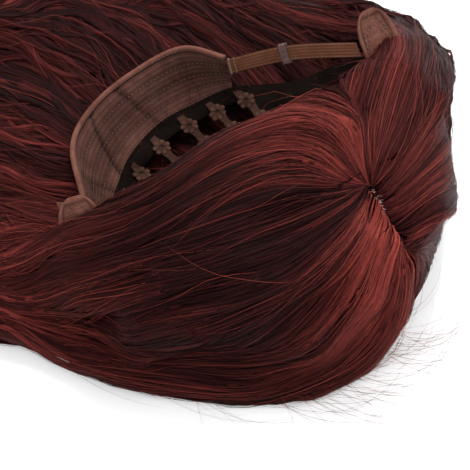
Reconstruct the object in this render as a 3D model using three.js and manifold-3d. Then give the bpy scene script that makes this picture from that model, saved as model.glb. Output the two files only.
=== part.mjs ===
// Long wig with a swept fringe, lying on its back with the mouth of its cap open.
// Millimetres, +Z up. Each piece is modelled in the cap's own frame: x across the cap, y towards the
// mouth (so a place "along" the cap, from the mouth to the crown, is -y), z up from the table.
import * as THREE from "three";
import { mergeVertices } from "three/addons/utils/BufferGeometryUtils.js";
import Module from "manifold-3d";

const wasm = await Module();
wasm.setup();

// Driving sizes
const capHalfWidth = 120; // half the width of the flattened cap, ear to ear
const capDepth = 140; // from the mouth's plane to the crown
const capHeight = 88; // from the table to the top of the mouth
const restTurn = 38.9; // degrees that the cap is turned on the table
const netWall = 1.2; // pierced cap net
const pieceGap = 0.4; // clearance between neighbouring pieces
const hairGap = 0.8; // clearance of the hair, whose facets are larger
const seatGap = 0.8; // clearance of the pieces that lie on the net's flat facets
const bandWall = 2.2; // nape band at its quilted ribs
const bandGroove = 0.8; // depth of its stitched channels
const bandRibs = 4;
const bandDip = 2.5; // how far its middle is bowed down
const liningWall = 1.4; // front band, sewn inside the net
const liningReach = 0.13; // share of the way from the mouth to the crown that it covers
const bindingRadius = 1.9; // piping on the nape band's free edge
const laceWall = 0.9;
const laceWidth = 13;
const scallopDepth = 2.2;
const strapWidth = 11;
const strapWall = 1.2;
const keeperWidth = 5; // cloth keeper on the right strap
const keeperWall = 1.2;
const keeperPlace = 0.46; // share of the strap's length
const tabWall = 1.8;
const tabLength = 31;
const tabHalfWidth = 15;
const tabStand = 1.6; // from the net's edge to its root
const tabBow = 2.5; // how far it is bowed
const skinWall = 0.8; // scalp patch at the parting
const skinHalfLength = 17;
const skinHalfWidth = 11;
const skinShift = 10; // from the whorl towards the crown
const hairDepth = 8; // hair standing on the top of the cap, under its locks
const hairPress = 4; // how much the hair under the cap is pressed flat by its weight
const hairRelief = 1.6; // how far locks stand out of the hair
const hairOverhang = 7; // hair past the front edge of the cap
const partingWidth = 4.5;
const partingShallow = 0.6; // share of hairDepth left under its far end
const hairTail = 215; // free hair past the last named place of a lock
const lockWidth = 50;
const lockDepth = 25;
const swayWidth = 15; // side to side waves of the free hair
const restCut = 0; // height of the table, where soft hair is flattened

// The net's edge at the mouth, clockwise from the forehead seen from the mouth. Shares of
// capHalfWidth, capDepth and capHeight.
const mouthEdge = [
  { name: "front_mid", across: -0.08, along: 0.07, up: 0.955 },
  { name: "front_right", across: 0.375, along: 0.115, up: 1.0 },
  { name: "temple_right", across: 0.82, along: 0.13, up: 0.99 },
  { name: "ear_right", across: 1.12, along: 0.04, up: 0.9 },
  { name: "behind_ear_right", across: 1.05, along: -0.15, up: 0.64 },
  { name: "cutout_right", across: 0.79, along: -0.3, up: 0.42 },
  { name: "nape_corner_right", across: 0.5, along: -0.485, up: 0.365 },
  { name: "nape_right", across: 0.32, along: -0.57, up: 0.24 },
  { name: "nape_mid", across: 0.07, along: -0.6, up: 0.2 },
  { name: "nape_left", across: -0.21, along: -0.53, up: 0.2 },
  { name: "nape_corner_left", across: -0.43, along: -0.385, up: 0.27 },
  { name: "cutout_left", across: -0.65, along: -0.215, up: 0.41 },
  { name: "behind_ear_left", across: -0.83, along: -0.115, up: 0.52 },
  { name: "ear_left", across: -0.9, along: -0.015, up: 0.68 },
  { name: "temple_left", across: -0.71, along: 0.03, up: 0.82 },
  { name: "front_left", across: -0.42, along: 0.05, up: 0.91 },
];

// The free edge of the nape band, right end to left end, beside the mouthEdge rows named in seat.
const napeEdge = [
  { seat: "nape_corner_right", across: 0.52, along: -0.56, up: 0.57 },
  { seat: "nape_right", across: 0.385, along: -0.77, up: 0.51 },
  { seat: "nape_mid", across: 0.06, along: -0.83, up: 0.42 },
  { seat: "nape_left", across: -0.25, along: -0.78, up: 0.41 },
  { seat: "nape_corner_left", across: -0.5, along: -0.63, up: 0.44 },
  { seat: "cutout_left", across: -0.7, along: -0.29, up: 0.54 },
];

// Middle of the mouth, and the crown, which every line of the net runs to.
const mouthCentre = { across: 0.04, along: 0.21, up: 0.48 };
const crownEnd = { across: 0.04, along: 0.99, up: 0.46 };
// The middle of the ellipsoid that the worn cap nearly is.
const capMiddle = { across: 0.12, along: 0.46, up: 0.57, halfDepth: 0.57, halfHeight: 0.43 };
const topFullness = 0.55; // how soon the net's top turns down to the crown, 1 for an ellipse
const underFullness = 0.4; // the same for its underside
const sideFullness = 0.8;
const netRounds = 32; // facets round the mouth
const netReaches = [0, 0.1, 0.24, 0.39, 0.55, 0.7, 0.83, 0.93, 1]; // their edges, mouth to crown

// Open weft rows of the net's back panel: the gaps between its rows and its lace ribbons.
const wefts = { columns: 5, rows: 2, firstReach: 0.05, lastReach: 0.42, barShare: 0.36 };

// Where the whorl of the hair sits on the net: mouthEdge station, and share from mouth to crown.
const whorl = { station: 1.0, reach: 0.38 };
const partingEnd = { station: 0.55, reach: 0.83 };
const partingKinks = [0, 0.9, -0.4, 0.7, 0]; // mm to either side of its chord, whorl to crown

// Locks that lie on the hair of the crown or leave it for the table. Each place on a lock's way is
// [across, along, up] in shares of capHalfWidth, capDepth and capHeight. width and depth are shares
// of lockWidth and lockDepth, and root is the share of its width that a lock starts with. After its
// ways a lock runs on over the table: veer is in degrees from the way that the hair is swept, run a
// share of hairTail, sway a share of swayWidth and beat its number of half waves.
const lockRows = [
  { node: "fringe", root: 0.4, width: 0.64, depth: 0.48, veer: -2, run: 0.42, sway: 0.3, beat: 1.6,
    ways: [[0.38, 0.59, 1.07], [0.51, 0.3, 1.14], [0.1, 0.08, 1.08], [-0.45, 0.08, 1.02],
      [-0.83, -0.08, 0.66], [-1.17, -0.32, 0.32]] },
  { node: "fringe", root: 0.4, width: 0.72, depth: 0.48, veer: -6, run: 0.34, sway: -0.3, beat: 1.6,
    ways: [[0.33, 0.62, 1.06], [0.27, 0.31, 1.11], [-0.13, 0.16, 1.07], [-0.64, 0.11, 0.98],
      [-0.95, -0.09, 0.52], [-1.28, -0.31, 0.27]] },
  { node: "fringe", root: 0.4, width: 0.76, depth: 0.48, veer: -10, run: 0.26, sway: 0.3, beat: 1.4,
    ways: [[0.27, 0.65, 1.05], [0.06, 0.39, 1.09], [-0.39, 0.27, 1.03], [-0.8, 0.18, 0.89],
      [-1.07, -0.08, 0.39], [-1.38, -0.29, 0.23]] },
  { node: "side_hair_left", root: 0.4, width: 0.88, depth: 0.64, veer: -2, run: 0.72, sway: 0.7, beat: 2.4,
    ways: [[0.3, 0.66, 0.97], [-0.14, 0.6, 1], [-0.55, 0.44, 0.94], [-0.85, 0.27, 0.82],
      [-1.08, -0.07, 0.3], [-1.44, -0.37, 0.17]] },
  { node: "side_hair_left", root: 0.4, width: 0.96, depth: 0.8, veer: -8, run: 0.62, sway: -0.6, beat: 2.2,
    ways: [[0.29, 0.74, 1.02], [-0.12, 0.78, 0.94], [-0.54, 0.67, 0.88], [-0.78, 0.36, 0.39],
      [-1.11, -0.04, 0.17], [-1.47, -0.34, 0.14]] },
  { node: "top_hair_left", root: 0.4, width: 0.92, depth: 0.88, veer: -14, run: 0.62, sway: 0.7, beat: 2.2,
    ways: [[0.3, 0.86, 0.95], [-0.03, 0.98, 0.73], [-0.38, 0.83, 0.34], [-0.77, 0.53, 0.23],
      [-1.07, 0.14, 0.14], [-1.34, -0.22, 0.11]] },
  { node: "top_hair_left", root: 0.4, width: 0.76, depth: 0.8, veer: -22, run: 0.55, sway: -0.6, beat: 2,
    ways: [[0.28, 0.96, 0.84], [0.18, 1.05, 0.41], [-0.12, 1.03, 0.16], [-0.56, 0.83, 0.11],
      [-0.91, 0.49, 0.1], [-1.19, 0.13, 0.09]] },
  { node: "back_hair_left", root: 0.8, width: 1, depth: 1.04, veer: -3, run: 0.95, sway: 0.7, beat: 2.6,
    ways: [[-0.44, -0.32, 0.18], [-0.66, -0.57, 0.23], [-0.9, -0.81, 0.2], [-1.19, -0.99, 0.16]] },
  { node: "back_hair_left", root: 0.8, width: 1.16, depth: 1.12, veer: 1, run: 1, sway: 0.8, beat: 3,
    ways: [[-0.62, -0.24, 0.16], [-0.88, -0.4, 0.22], [-1.05, -0.56, 0.2], [-1.21, -0.74, 0.16]] },
  { node: "back_hair_left", root: 0.8, width: 1.24, depth: 1.04, veer: 6, run: 0.9, sway: -0.9, beat: 2.6,
    ways: [[-0.5, -0.42, 0.14], [-0.68, -0.66, 0.24], [-0.81, -0.86, 0.22], [-0.97, -1.08, 0.17]] },
  { node: "back_hair_mid", root: 0.8, width: 1.32, depth: 1.04, veer: 9, run: 0.95, sway: 0.9, beat: 2.8,
    ways: [[-0.3, -0.54, 0.14], [-0.43, -0.92, 0.23], [-0.52, -1.17, 0.22], [-0.7, -1.42, 0.17]] },
  { node: "back_hair_mid", root: 0.8, width: 1.36, depth: 1.04, veer: 15, run: 0.8, sway: -0.8, beat: 2.4,
    ways: [[-0.02, -0.6, 0.13], [-0.06, -1.08, 0.22], [-0.16, -1.42, 0.21], [-0.37, -1.72, 0.16]] },
  { node: "back_hair_right", root: 0.8, width: 1.36, depth: 1.04, veer: 22, run: 0.75, sway: 0.8, beat: 2.6,
    ways: [[0.3, -0.56, 0.14], [0.32, -1.04, 0.22], [0.22, -1.44, 0.2], [0.02, -1.86, 0.16]] },
  { node: "back_hair_right", root: 0.8, width: 1.2, depth: 1.04, veer: 30, run: 0.7, sway: -0.7, beat: 2.2,
    ways: [[0.68, -0.34, 0.16], [0.71, -0.78, 0.2], [0.65, -1.22, 0.19], [0.5, -1.6, 0.15]] },
  { node: "back_hair_right", root: 0.8, width: 1.12, depth: 1.04, veer: 32, run: 0.55, sway: 0.6, beat: 2,
    ways: [[0.98, -0.24, 0.16], [1.02, -0.53, 0.23], [0.94, -0.91, 0.24], [0.8, -1.41, 0.2]] },
  { node: "side_hair_right", root: 0.4, width: 0.88, depth: 0.56, veer: 30, run: 0.35, sway: 0.4, beat: 1.6,
    ways: [[0.42, 0.59, 1.07], [0.72, 0.39, 1.1], [1.06, 0.18, 1.04], [1.42, -0.14, 0.61],
      [1.33, -0.38, 0.41], [1.11, -0.67, 0.28], [0.93, -1, 0.23], [0.76, -1.34, 0.2]] },
  { node: "side_hair_right", root: 0.4, width: 0.92, depth: 0.56, veer: 34, run: 0.4, sway: -0.4, beat: 1.6,
    ways: [[0.4, 0.7, 1.04], [0.69, 0.58, 1.06], [1.01, 0.39, 1.05], [1.5, -0.1, 0.39],
      [1.52, -0.37, 0.25], [1.37, -0.67, 0.19], [1.19, -1.07, 0.17]] },
  { node: "side_hair_right", root: 0.4, width: 0.88, depth: 0.64, veer: 34, run: 0.3, sway: 0.4, beat: 1.4,
    ways: [[0.28, 0.94, 0.88], [0.5, 0.86, 0.92], [1.03, 0.49, 0.34], [1.44, 0.09, 0.18],
      [1.57, -0.25, 0.12], [1.42, -0.56, 0.11], [1.27, -0.93, 0.1]] },
];
const sweptHeading = 141.1; // degrees in the cap's frame that free hair is swept towards
const lockSides = 6;
const lockSteps = 10;
const lockBeats = 5; // places along its free run
const tipHeight = 5; // from the table to the spine at its tip
const lockTipStart = 0.62; // share of its length from where it narrows to its tip
const lockTipShare = 0.12; // share of its width left at the tip
const lockLift = 1.5; // mm that a lock's spine lies over the cap's hair
const drapeFloor = 0.35; // share of capHeight under which locks are not draped

// Places and curves

const lerp = THREE.MathUtils.lerp;
const radians = THREE.MathUtils.degToRad;

function place(row) {
  return new THREE.Vector3(row.across * capHalfWidth, -row.along * capDepth, row.up * capHeight);
}

const mouthCurve = new THREE.CatmullRomCurve3(mouthEdge.map(place), true, "catmullrom", 0.5);
const stations = mouthEdge.length;
const stationOf = (name) => mouthEdge.findIndex((row) => row.name === name);

// A point of the net's outer face: station round the mouth, reach 0 at the mouth to 1 at the crown.
function netPoint(station, reach) {
  const edge = mouthCurve.getPoint((((station / stations) % 1) + 1) % 1);
  const centre = place(mouthCentre);
  const crown = place(crownEnd);
  const turn = Math.min(reach, 1) * Math.PI * 0.5;
  const near = Math.cos(turn) ** sideFullness;
  const far = Math.sin(turn) ** sideFullness;
  const fullness = edge.z > centre.z ? topFullness : underFullness;
  const rise = Math.cos(turn) ** fullness;
  return new THREE.Vector3(
    centre.x + (edge.x - centre.x) * near + (crown.x - centre.x) * far,
    centre.y + (edge.y - centre.y) * near + (crown.y - centre.y) * far,
    lerp(crown.z, centre.z, rise) + (edge.z - centre.z) * rise,
  );
}

// The net's outward direction there, by differences.
function netNormal(station, reach) {
  const step = 0.02;
  const at = THREE.MathUtils.clamp(reach, step, 1 - 2 * step);
  const round = netPoint(station + step, at).sub(netPoint(station - step, at));
  const inward = netPoint(station, at + step).sub(netPoint(station, at - step));
  return inward.cross(round).normalize();
}

function netOffset(station, reach, height) {
  return netPoint(station, reach).addScaledVector(netNormal(station, reach), height);
}

// Solids

// A THREE.BufferGeometry as a manifold-3d solid, with shared vertices merged and slivers dropped.
function solidOf(geometry) {
  const bare = new THREE.BufferGeometry();
  bare.setAttribute("position", geometry.getAttribute("position"));
  if (geometry.index) bare.setIndex(geometry.index);
  const merged = mergeVertices(bare, 1e-4);
  const source = merged.index.array;
  const corners = [];
  for (let i = 0; i < source.length; i += 3) {
    const [a, b, c] = source.slice(i, i + 3);
    if (a !== b && b !== c && c !== a) corners.push(a, b, c);
  }
  const solid = new wasm.Manifold(
    new wasm.Mesh({
      numProp: 3,
      vertProperties: new Float32Array(merged.attributes.position.array),
      triVerts: new Uint32Array(corners),
    }),
  );
  return solid.volume() < 0 ? solidOf(flipped(merged)) : solid;
}

function flipped(geometry) {
  const turned = geometry.clone();
  const corners = Array.from(geometry.index.array);
  for (let i = 0; i < corners.length; i += 3) {
    [corners[i + 1], corners[i + 2]] = [corners[i + 2], corners[i + 1]];
  }
  turned.setIndex(corners);
  return turned;
}

function geometryOf(solid) {
  const mesh = solid.getMesh();
  const points = new Float32Array(mesh.numVert * 3);
  for (let i = 0; i < mesh.numVert; i++) {
    points.set(mesh.vertProperties.subarray(i * mesh.numProp, i * mesh.numProp + 3), i * 3);
  }
  const geometry = new THREE.BufferGeometry();
  geometry.setAttribute("position", new THREE.BufferAttribute(points, 3));
  geometry.setIndex(new THREE.BufferAttribute(new Uint32Array(mesh.triVerts), 1));
  return geometry;
}

function largestBody(solid) {
  const bodies = solid.decompose();
  return bodies.reduce((best, body) => (body.volume() > best.volume() ? body : best));
}

const joined = (solids) => solids.reduce((all, one) => all.add(one));
const shortestEdge = 0.05;
const hairEdge = 0.2; // the same for the hair's facets

// A closed solid through rings of points. Each ring has as many points, and ends are closed by fans,
// the last one to the tip given or else to the ring's own middle.
function ringLoft(rings, tip = null) {
  const points = rings.flat();
  const round = rings[0].length;
  const corners = [];
  for (let i = 0; i + 1 < rings.length; i++) {
    for (let j = 0; j < round; j++) {
      const a = i * round + j;
      const b = i * round + ((j + 1) % round);
      corners.push(a, b, b + round, a, b + round, a + round);
    }
  }
  for (const [first, reverse] of [[0, true], [(rings.length - 1) * round, false]]) {
    const middle = new THREE.Vector3();
    for (let j = 0; j < round; j++) middle.addScaledVector(points[first + j], 1 / round);
    const peak = points.push(tip && !reverse ? tip : middle) - 1;
    for (let j = 0; j < round; j++) {
      const pair = [first + j, first + ((j + 1) % round)];
      if (reverse) pair.reverse();
      corners.push(pair[0], pair[1], peak);
    }
  }
  const geometry = new THREE.BufferGeometry().setFromPoints(points);
  geometry.setIndex(corners);
  return solidOf(geometry);
}

// A thin solid between two open sheets of points, or two bowls when closed joins the last row to the
// first. surface(i, j, side) gives the point at row i of rows and column j of columns.
function sheetSolid(rows, columns, surface, closed = false) {
  const points = [];
  for (let side = 0; side < 2; side++) {
    for (let i = 0; i < rows; i++) {
      for (let j = 0; j < columns; j++) points.push(surface(i, j, side));
    }
  }
  const index = (i, j, side) => (side * rows + (i % rows)) * columns + j;
  for (let side = 0; closed && side < 2; side++) {
    const crown = new THREE.Vector3();
    for (let i = 0; i < rows; i++) crown.addScaledVector(points[index(i, columns - 1, side)], 1 / rows);
    for (let i = 0; i < rows; i++) points[index(i, columns - 1, side)] = crown;
  }
  const corners = [];
  const quad = (a, b, c, d) => corners.push(a, b, c, a, c, d);
  const spans = closed ? rows : rows - 1;
  for (let i = 0; i < spans; i++) {
    for (let j = 0; j + 1 < columns; j++) {
      quad(index(i, j, 0), index(i + 1, j, 0), index(i + 1, j + 1, 0), index(i, j + 1, 0));
      quad(index(i, j, 1), index(i, j + 1, 1), index(i + 1, j + 1, 1), index(i + 1, j, 1));
    }
    quad(index(i, 0, 1), index(i + 1, 0, 1), index(i + 1, 0, 0), index(i, 0, 0));
    const end = columns - 1;
    if (!closed) {
      quad(index(i, end, 0), index(i + 1, end, 0), index(i + 1, end, 1), index(i, end, 1));
    }
  }
  if (!closed) {
    for (let j = 0; j + 1 < columns; j++) {
      quad(index(0, j, 0), index(0, j + 1, 0), index(0, j + 1, 1), index(0, j, 1));
      const end = rows - 1;
      quad(index(end, j, 1), index(end, j + 1, 1), index(end, j + 1, 0), index(end, j, 0));
    }
  }
  const geometry = new THREE.BufferGeometry().setFromPoints(points);
  geometry.setIndex(corners);
  return solidOf(geometry);
}

// A band that follows a curve: its width lies along sideAt(t), and past is added at either end.
function bandSolid(curve, sideAt, width, wall, steps, past = 0) {
  const rings = [];
  for (let i = 0; i <= steps; i++) {
    const t = i / steps;
    const centre = curve.getPointAt(t);
    const end = { 0: -past, [steps]: past }[i] ?? 0;
    centre.addScaledVector(curve.getTangentAt(t), end);
    const side = sideAt(t).clone().normalize();
    const normal = curve.getTangentAt(t).cross(side).normalize();
    const corner = (u, w) =>
      centre.clone().addScaledVector(side, (u * width) / 2).addScaledVector(normal, (w * wall) / 2);
    rings.push([corner(-1, -1), corner(1, -1), corner(1, 1), corner(-1, 1)]);
  }
  return ringLoft(rings);
}

// The cap

// The way out of the mouth, in line with the net, at a station.
const outOfMouth = (station) => netPoint(station, 0).sub(netPoint(station, 0.08)).normalize();

// The net as a bowl whose two faces lie at the given heights over its outer face, and whose edge
// stands past the mouth by lip.
function netBowl(innerHeight, outerHeight, lip = 0) {
  return sheetSolid(
    netRounds,
    netReaches.length,
    (i, j, side) => {
      const station = (i / netRounds) * stations;
      const point = netOffset(station, netReaches[j], side ? outerHeight : innerHeight);
      return j ? point : point.addScaledVector(outOfMouth(station), lip);
    },
    true,
  );
}

const netRoom = () => netBowl(-netWall - pieceGap, pieceGap, pieceGap);

// The crown's own point, at a height over the net.
function crownPoint(height) {
  const beyond = place(crownEnd).sub(place(mouthCentre)).setZ(0).normalize();
  return place(crownEnd).addScaledVector(beyond, height);
}

function weftGaps() {
  const first = stationOf("nape_corner_right");
  const last = stationOf("nape_corner_left");
  const gaps = [];
  for (let column = 0; column < wefts.columns; column++) {
    for (let row = 0; row < wefts.rows; row++) {
      const span = (last - first) / wefts.columns;
      const from = first + span * (column + wefts.barShare / 2);
      const to = from + span * (1 - wefts.barShare);
      const pitch = (wefts.lastReach - wefts.firstReach) / wefts.rows;
      const low = wefts.firstReach + pitch * row;
      const high = low + pitch * (1 - wefts.barShare);
      const through = 3 * netWall;
      gaps.push(
        sheetSolid(2, 2, (i, j, side) =>
          netOffset(lerp(from, to, i), lerp(low, high, j), side ? through : -through),
        ),
      );
    }
  }
  return joined(gaps);
}

function capNet() {
  return netBowl(-netWall, 0).subtract(weftGaps());
}

// Lace ribbons lie on the inner face of the net between the columns of gaps.
function laceRibbon(index) {
  const first = stationOf("nape_corner_right");
  const last = stationOf("nape_corner_left");
  const middle = first + ((last - first) / wefts.columns) * index;
  const steps = 8;
  const scallops = 4;
  const start = 0.015;
  const stop = wefts.lastReach + 0.04;
  return sheetSolid(steps + 1, 3, (i, j, side) => {
    const share = i / steps;
    const reach = lerp(start, stop, share);
    const wave = Math.abs(Math.sin(share * Math.PI * scallops));
    const half = laceWidth / 2 - scallopDepth * (1 - wave);
    const near = netPoint(middle, reach);
    const beside = netPoint(middle + 0.1, reach);
    const perStation = near.distanceTo(beside) / 0.1;
    const height = -netWall - seatGap - (side ? 0 : laceWall);
    return netOffset(middle + ((j - 1) * half) / perStation, reach, height);
  });
}

// The nape band runs on from the net's edge to its own free edge, and is quilted in ribs.
const napeCurve = new THREE.CatmullRomCurve3(napeEdge.map(place), false, "catmullrom", 0.5);

function napeEdgePoint(t) {
  return napeCurve.getPoint(t);
}

function napeSeatPoint(t) {
  const first = stationOf(napeEdge[0].seat);
  return netPoint(first + t * (napeEdge.length - 1), 0);
}

// A point of the band: t from its right end to its left, share from the net to its free edge.
function napeAcross(t, share) {
  const at = THREE.MathUtils.clamp(t, 0, 1);
  return napeSeatPoint(at).lerp(napeEdgePoint(at), share);
}

function napeBand(grow = 0) {
  const rows = 10;
  const columns = bandRibs * 2 + 1;
  return sheetSolid(rows, columns, (i, j, side) => {
    const t = i / (rows - 1);
    const seat = napeSeatPoint(t);
    const edge = napeEdgePoint(t);
    const height = seat.distanceTo(edge);
    const from = pieceGap / height;
    const share = lerp(from - grow / height, 1 + grow / height, j / (columns - 1));
    const along = napeAcross(t + 0.01, share).sub(napeAcross(t - 0.01, share)).normalize();
    const normal = edge.sub(seat).cross(along).normalize();
    if (normal.z < 0) normal.negate();
    const past = { 0: -grow, [rows - 1]: grow }[i] ?? 0;
    const rib = j % 2 ? bandWall : bandWall - bandGroove;
    const dip = -bandDip * Math.sin(Math.PI * share);
    const middle = napeAcross(t, share).addScaledVector(normal, dip).addScaledVector(along, past);
    return middle.addScaledVector(normal, (side ? 1 : -1) * (rib / 2 + grow));
  });
}

function napeBinding(grow = 0) {
  const steps = 16;
  const sides = 6;
  const rings = [];
  for (let i = 0; i <= steps; i++) {
    const t = i / steps;
    const edge = napeEdgePoint(t);
    const outward = edge.clone().sub(napeSeatPoint(t)).normalize();
    const tangent = napeCurve.getTangent(t);
    const over = tangent.clone().cross(outward).normalize();
    const centre = edge.addScaledVector(outward, bindingRadius + 1.5 * pieceGap);
    const ring = [];
    for (let k = 0; k < sides; k++) {
      const angle = (k / sides) * Math.PI * 2;
      ring.push(
        centre
          .clone()
          .addScaledVector(outward, Math.cos(angle) * (bindingRadius + grow))
          .addScaledVector(over, Math.sin(angle) * (bindingRadius + grow)),
      );
    }
    rings.push(ring);
  }
  return ringLoft(rings);
}

// The front band is sewn inside the net along the forehead, temple to temple.
function frontBand() {
  const first = stationOf("temple_left") - stations + 0.2;
  const last = stationOf("temple_right") - 0.1;
  const rows = 15;
  return sheetSolid(rows, 3, (i, j, side) => {
    const station = lerp(first, last, i / (rows - 1));
    const reach = lerp(0.004, liningReach, j / 2);
    const height = -netWall - seatGap - (side ? 0 : liningWall);
    return netOffset(station, reach, height);
  });
}

// An ear tab is a rounded flap that stands out from the net's edge, by stations past the row of
// mouthEdge that it is beside. out and side are its directions in the cap's frame.
const earTabs = {
  ear_tab_right: { beside: "ear_right", by: 0.12, out: [0.1, 0.75, 0.66], side: [-0.86, 0.34, 0.3] },
  ear_tab_left: { beside: "ear_left", by: -0.8, out: [0.25, 0.8, 0.6], side: [0.88, -0.1, 0.44] },
};

function earTabFrame(tab) {
  const root = netPoint(stationOf(tab.beside) + tab.by, 0);
  const out = new THREE.Vector3(...tab.out).normalize();
  const side = new THREE.Vector3(...tab.side);
  side.addScaledVector(out, -side.dot(out)).normalize();
  return { root, out, side, normal: side.clone().cross(out) };
}

function earTab(tab, grow = 0) {
  const { root, out, side, normal } = earTabFrame(tab);
  const rows = 6;
  const columns = 6;
  return sheetSolid(rows, columns, (i, j, face) => {
    const share = j / (columns - 1);
    const across = (i / (rows - 1)) * 2 - 1;
    const half = tabHalfWidth * Math.sqrt(Math.max(1 - share ** 3.2, 0.02));
    const bow = tabBow * (1 - across * across) * Math.sin(Math.PI * share);
    return root
      .clone()
      .addScaledVector(out, tabStand + lerp(-grow, tabLength + grow, share))
      .addScaledVector(side, across * (half + grow))
      .addScaledVector(normal, bow + (face ? 1 : -1) * (tabWall / 2 + grow));
  });
}

// Elastic straps run from the ends of the nape band to the ear tabs. seat is where a strap meets the
// band, from the net to the band's free edge, and via and to are places in shares.
const strapEnds = {
  strap_right: {
    tab: "ear_tab_right", nape: 0, seat: 0.8, via: [0.76, -0.31, 0.78], to: [1.01, -0.055, 0.93],
  },
  strap_left: {
    tab: "ear_tab_left", nape: 1, seat: 0.55, via: [-0.84, -0.32, 0.58], to: [-0.86, -0.2, 0.64],
  },
};

function strapCurve(ends) {
  const way = ends.nape ? 1 : -1;
  const start = napeSeatPoint(ends.nape).lerp(napeEdgePoint(ends.nape), ends.seat);
  start.addScaledVector(napeCurve.getTangent(ends.nape), way * (pieceGap + strapWall / 2));
  const [via, to] = [ends.via, ends.to].map(([across, along, up]) => place({ across, along, up }));
  return new THREE.CatmullRomCurve3([start, via, to]);
}

function strapSide(ends) {
  const atNape = napeEdgePoint(ends.nape).sub(napeSeatPoint(ends.nape)).normalize();
  const atTab = earTabFrame(earTabs[ends.tab]).out;
  return (t) => atNape.clone().lerp(atTab, t).normalize();
}

function strapSolid(ends, grow = 0) {
  const width = strapWidth + 2 * grow;
  return bandSolid(strapCurve(ends), strapSide(ends), width, strapWall + 2 * grow, 10, grow);
}

// A keeper is a flat loop of cloth round the strap.
function keeper(ends, at, width) {
  const curve = strapCurve(ends);
  const length = curve.getLength();
  const half = width / length / 2;
  const stretch = (by) => {
    const points = [at - by, at, at + by].map((t) => curve.getPointAt(t));
    return new THREE.CatmullRomCurve3(points);
  };
  const sideAt = () => strapSide(ends)(at);
  const clear = 3 * pieceGap;
  const wall = 2 * keeperWall;
  const outer = bandSolid(stretch(half), sideAt, strapWidth + clear + wall, strapWall + clear + wall, 2);
  return outer.subtract(
    bandSolid(stretch(2 * half), sideAt, strapWidth + clear, strapWall + clear, 2),
  );
}

// The scalp patch lies on the net under the whorl.
function skinPatch(grow = 0) {
  const middle = whorlPlace();
  const away = partingPlace(1).sub(middle).normalize();
  const normal = netNormal(whorl.station, whorl.reach);
  const across = normal.clone().cross(away).normalize();
  const rings = [pieceGap - grow, pieceGap + skinWall + grow].map((height) => {
    const ring = [];
    const sides = 16;
    for (let k = 0; k < sides; k++) {
      const angle = (k / sides) * Math.PI * 2;
      const flat = middle
        .clone()
        .addScaledVector(away, Math.cos(angle) * (skinHalfLength + grow) + skinShift)
        .addScaledVector(across, Math.sin(angle) * (skinHalfWidth + grow));
      ring.push(dropOntoNet(flat, height));
    }
    return ring;
  });
  return ringLoft(rings);
}

const whorlPlace = () => netPoint(whorl.station, whorl.reach);

function partingPlace(t) {
  const station = lerp(whorl.station, partingEnd.station, t);
  const reach = lerp(whorl.reach, partingEnd.reach, t);
  return netPoint(station, reach);
}

// The point of the net's top under or over a given one, at a height over the net.
function dropOntoNet(point, height) {
  let station = whorl.station;
  let reach = whorl.reach;
  for (let pass = 0; pass < 12; pass++) {
    const here = netPoint(station, reach);
    const dRound = netPoint(station + 0.05, reach).sub(here).divideScalar(0.05);
    const dInward = netPoint(station, reach + 0.02).sub(here).divideScalar(0.02);
    const miss = point.clone().sub(here);
    const scale = dRound.x * dInward.y - dRound.y * dInward.x;
    station += (miss.x * dInward.y - miss.y * dInward.x) / scale;
    reach += (dRound.x * miss.y - dRound.y * miss.x) / scale;
    reach = THREE.MathUtils.clamp(reach, 0.02, 0.97);
  }
  return netOffset(station, reach, height);
}

// The hair

// Depth of the hair over the net, where locks fan out from the whorl.
function hairHeight(station, reach) {
  const point = netPoint(station, reach);
  const from = whorlPlace();
  const angle = Math.atan2(point.y - from.y, point.x - from.x);
  const distance = Math.hypot(point.x - from.x, point.y - from.y);
  const fan = Math.cos(angle * 11 + 0.02 * distance) + 0.5 * Math.cos(angle * 5 + 1);
  return hairDepth + hairRelief * fan * THREE.MathUtils.smoothstep(distance, 8, 40);
}

// How far the shell of hair stands out past the net's edge, at each station of the mouth.
function overhangAt(station) {
  const fromFront = Math.abs(((station + stations / 2) % stations) - stations / 2);
  return hairOverhang * (1 - THREE.MathUtils.smoothstep(fromFront, 2.2, 3.4));
}

// The hair's outer face. Under the cap it hangs straight down to the table.
function shellPoint(station, reach, grow) {
  const point = netOffset(station, reach, hairHeight(station, reach) + grow);
  if (!reach) point.addScaledVector(outOfMouth(station), overhangAt(station) + grow);
  const outward = netPoint(station, reach).sub(place(capMiddle)).setZ(0).normalize();
  point.addScaledVector(outward, grow);
  const under = THREE.MathUtils.smoothstep(-netNormal(station, reach).z, 0.2, 0.7);
  point.z = lerp(point.z, -hairPress - grow, under);
  return point;
}

function hairShell(grow = 0) {
  const rings = netReaches.slice(0, -1).map((reach) => {
    const ring = [];
    for (let i = 0; i < netRounds; i++) {
      const station = (i / netRounds) * stations;
      ring.push(shellPoint(station, reach, grow));
    }
    return ring;
  });
  return ringLoft(rings, crownPoint(hairHeight(0, 1) + 3 * grow));
}

// The mouth and the hollow behind it, cut out of the hair.
function hollow() {
  const rings = [];
  for (const reach of [-1, ...netReaches.slice(0, -1)]) {
    const ring = [];
    for (let i = 0; i < netRounds; i++) {
      const station = (i / netRounds) * stations;
      const at = Math.max(reach, 0);
      const point = netOffset(station, at, 1.3 * pieceGap);
      if (reach < 0) point.addScaledVector(outOfMouth(station), 3 * hairOverhang);
      ring.push(point);
    }
    rings.push(ring);
  }
  return ringLoft(rings, crownPoint(pieceGap));
}

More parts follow.
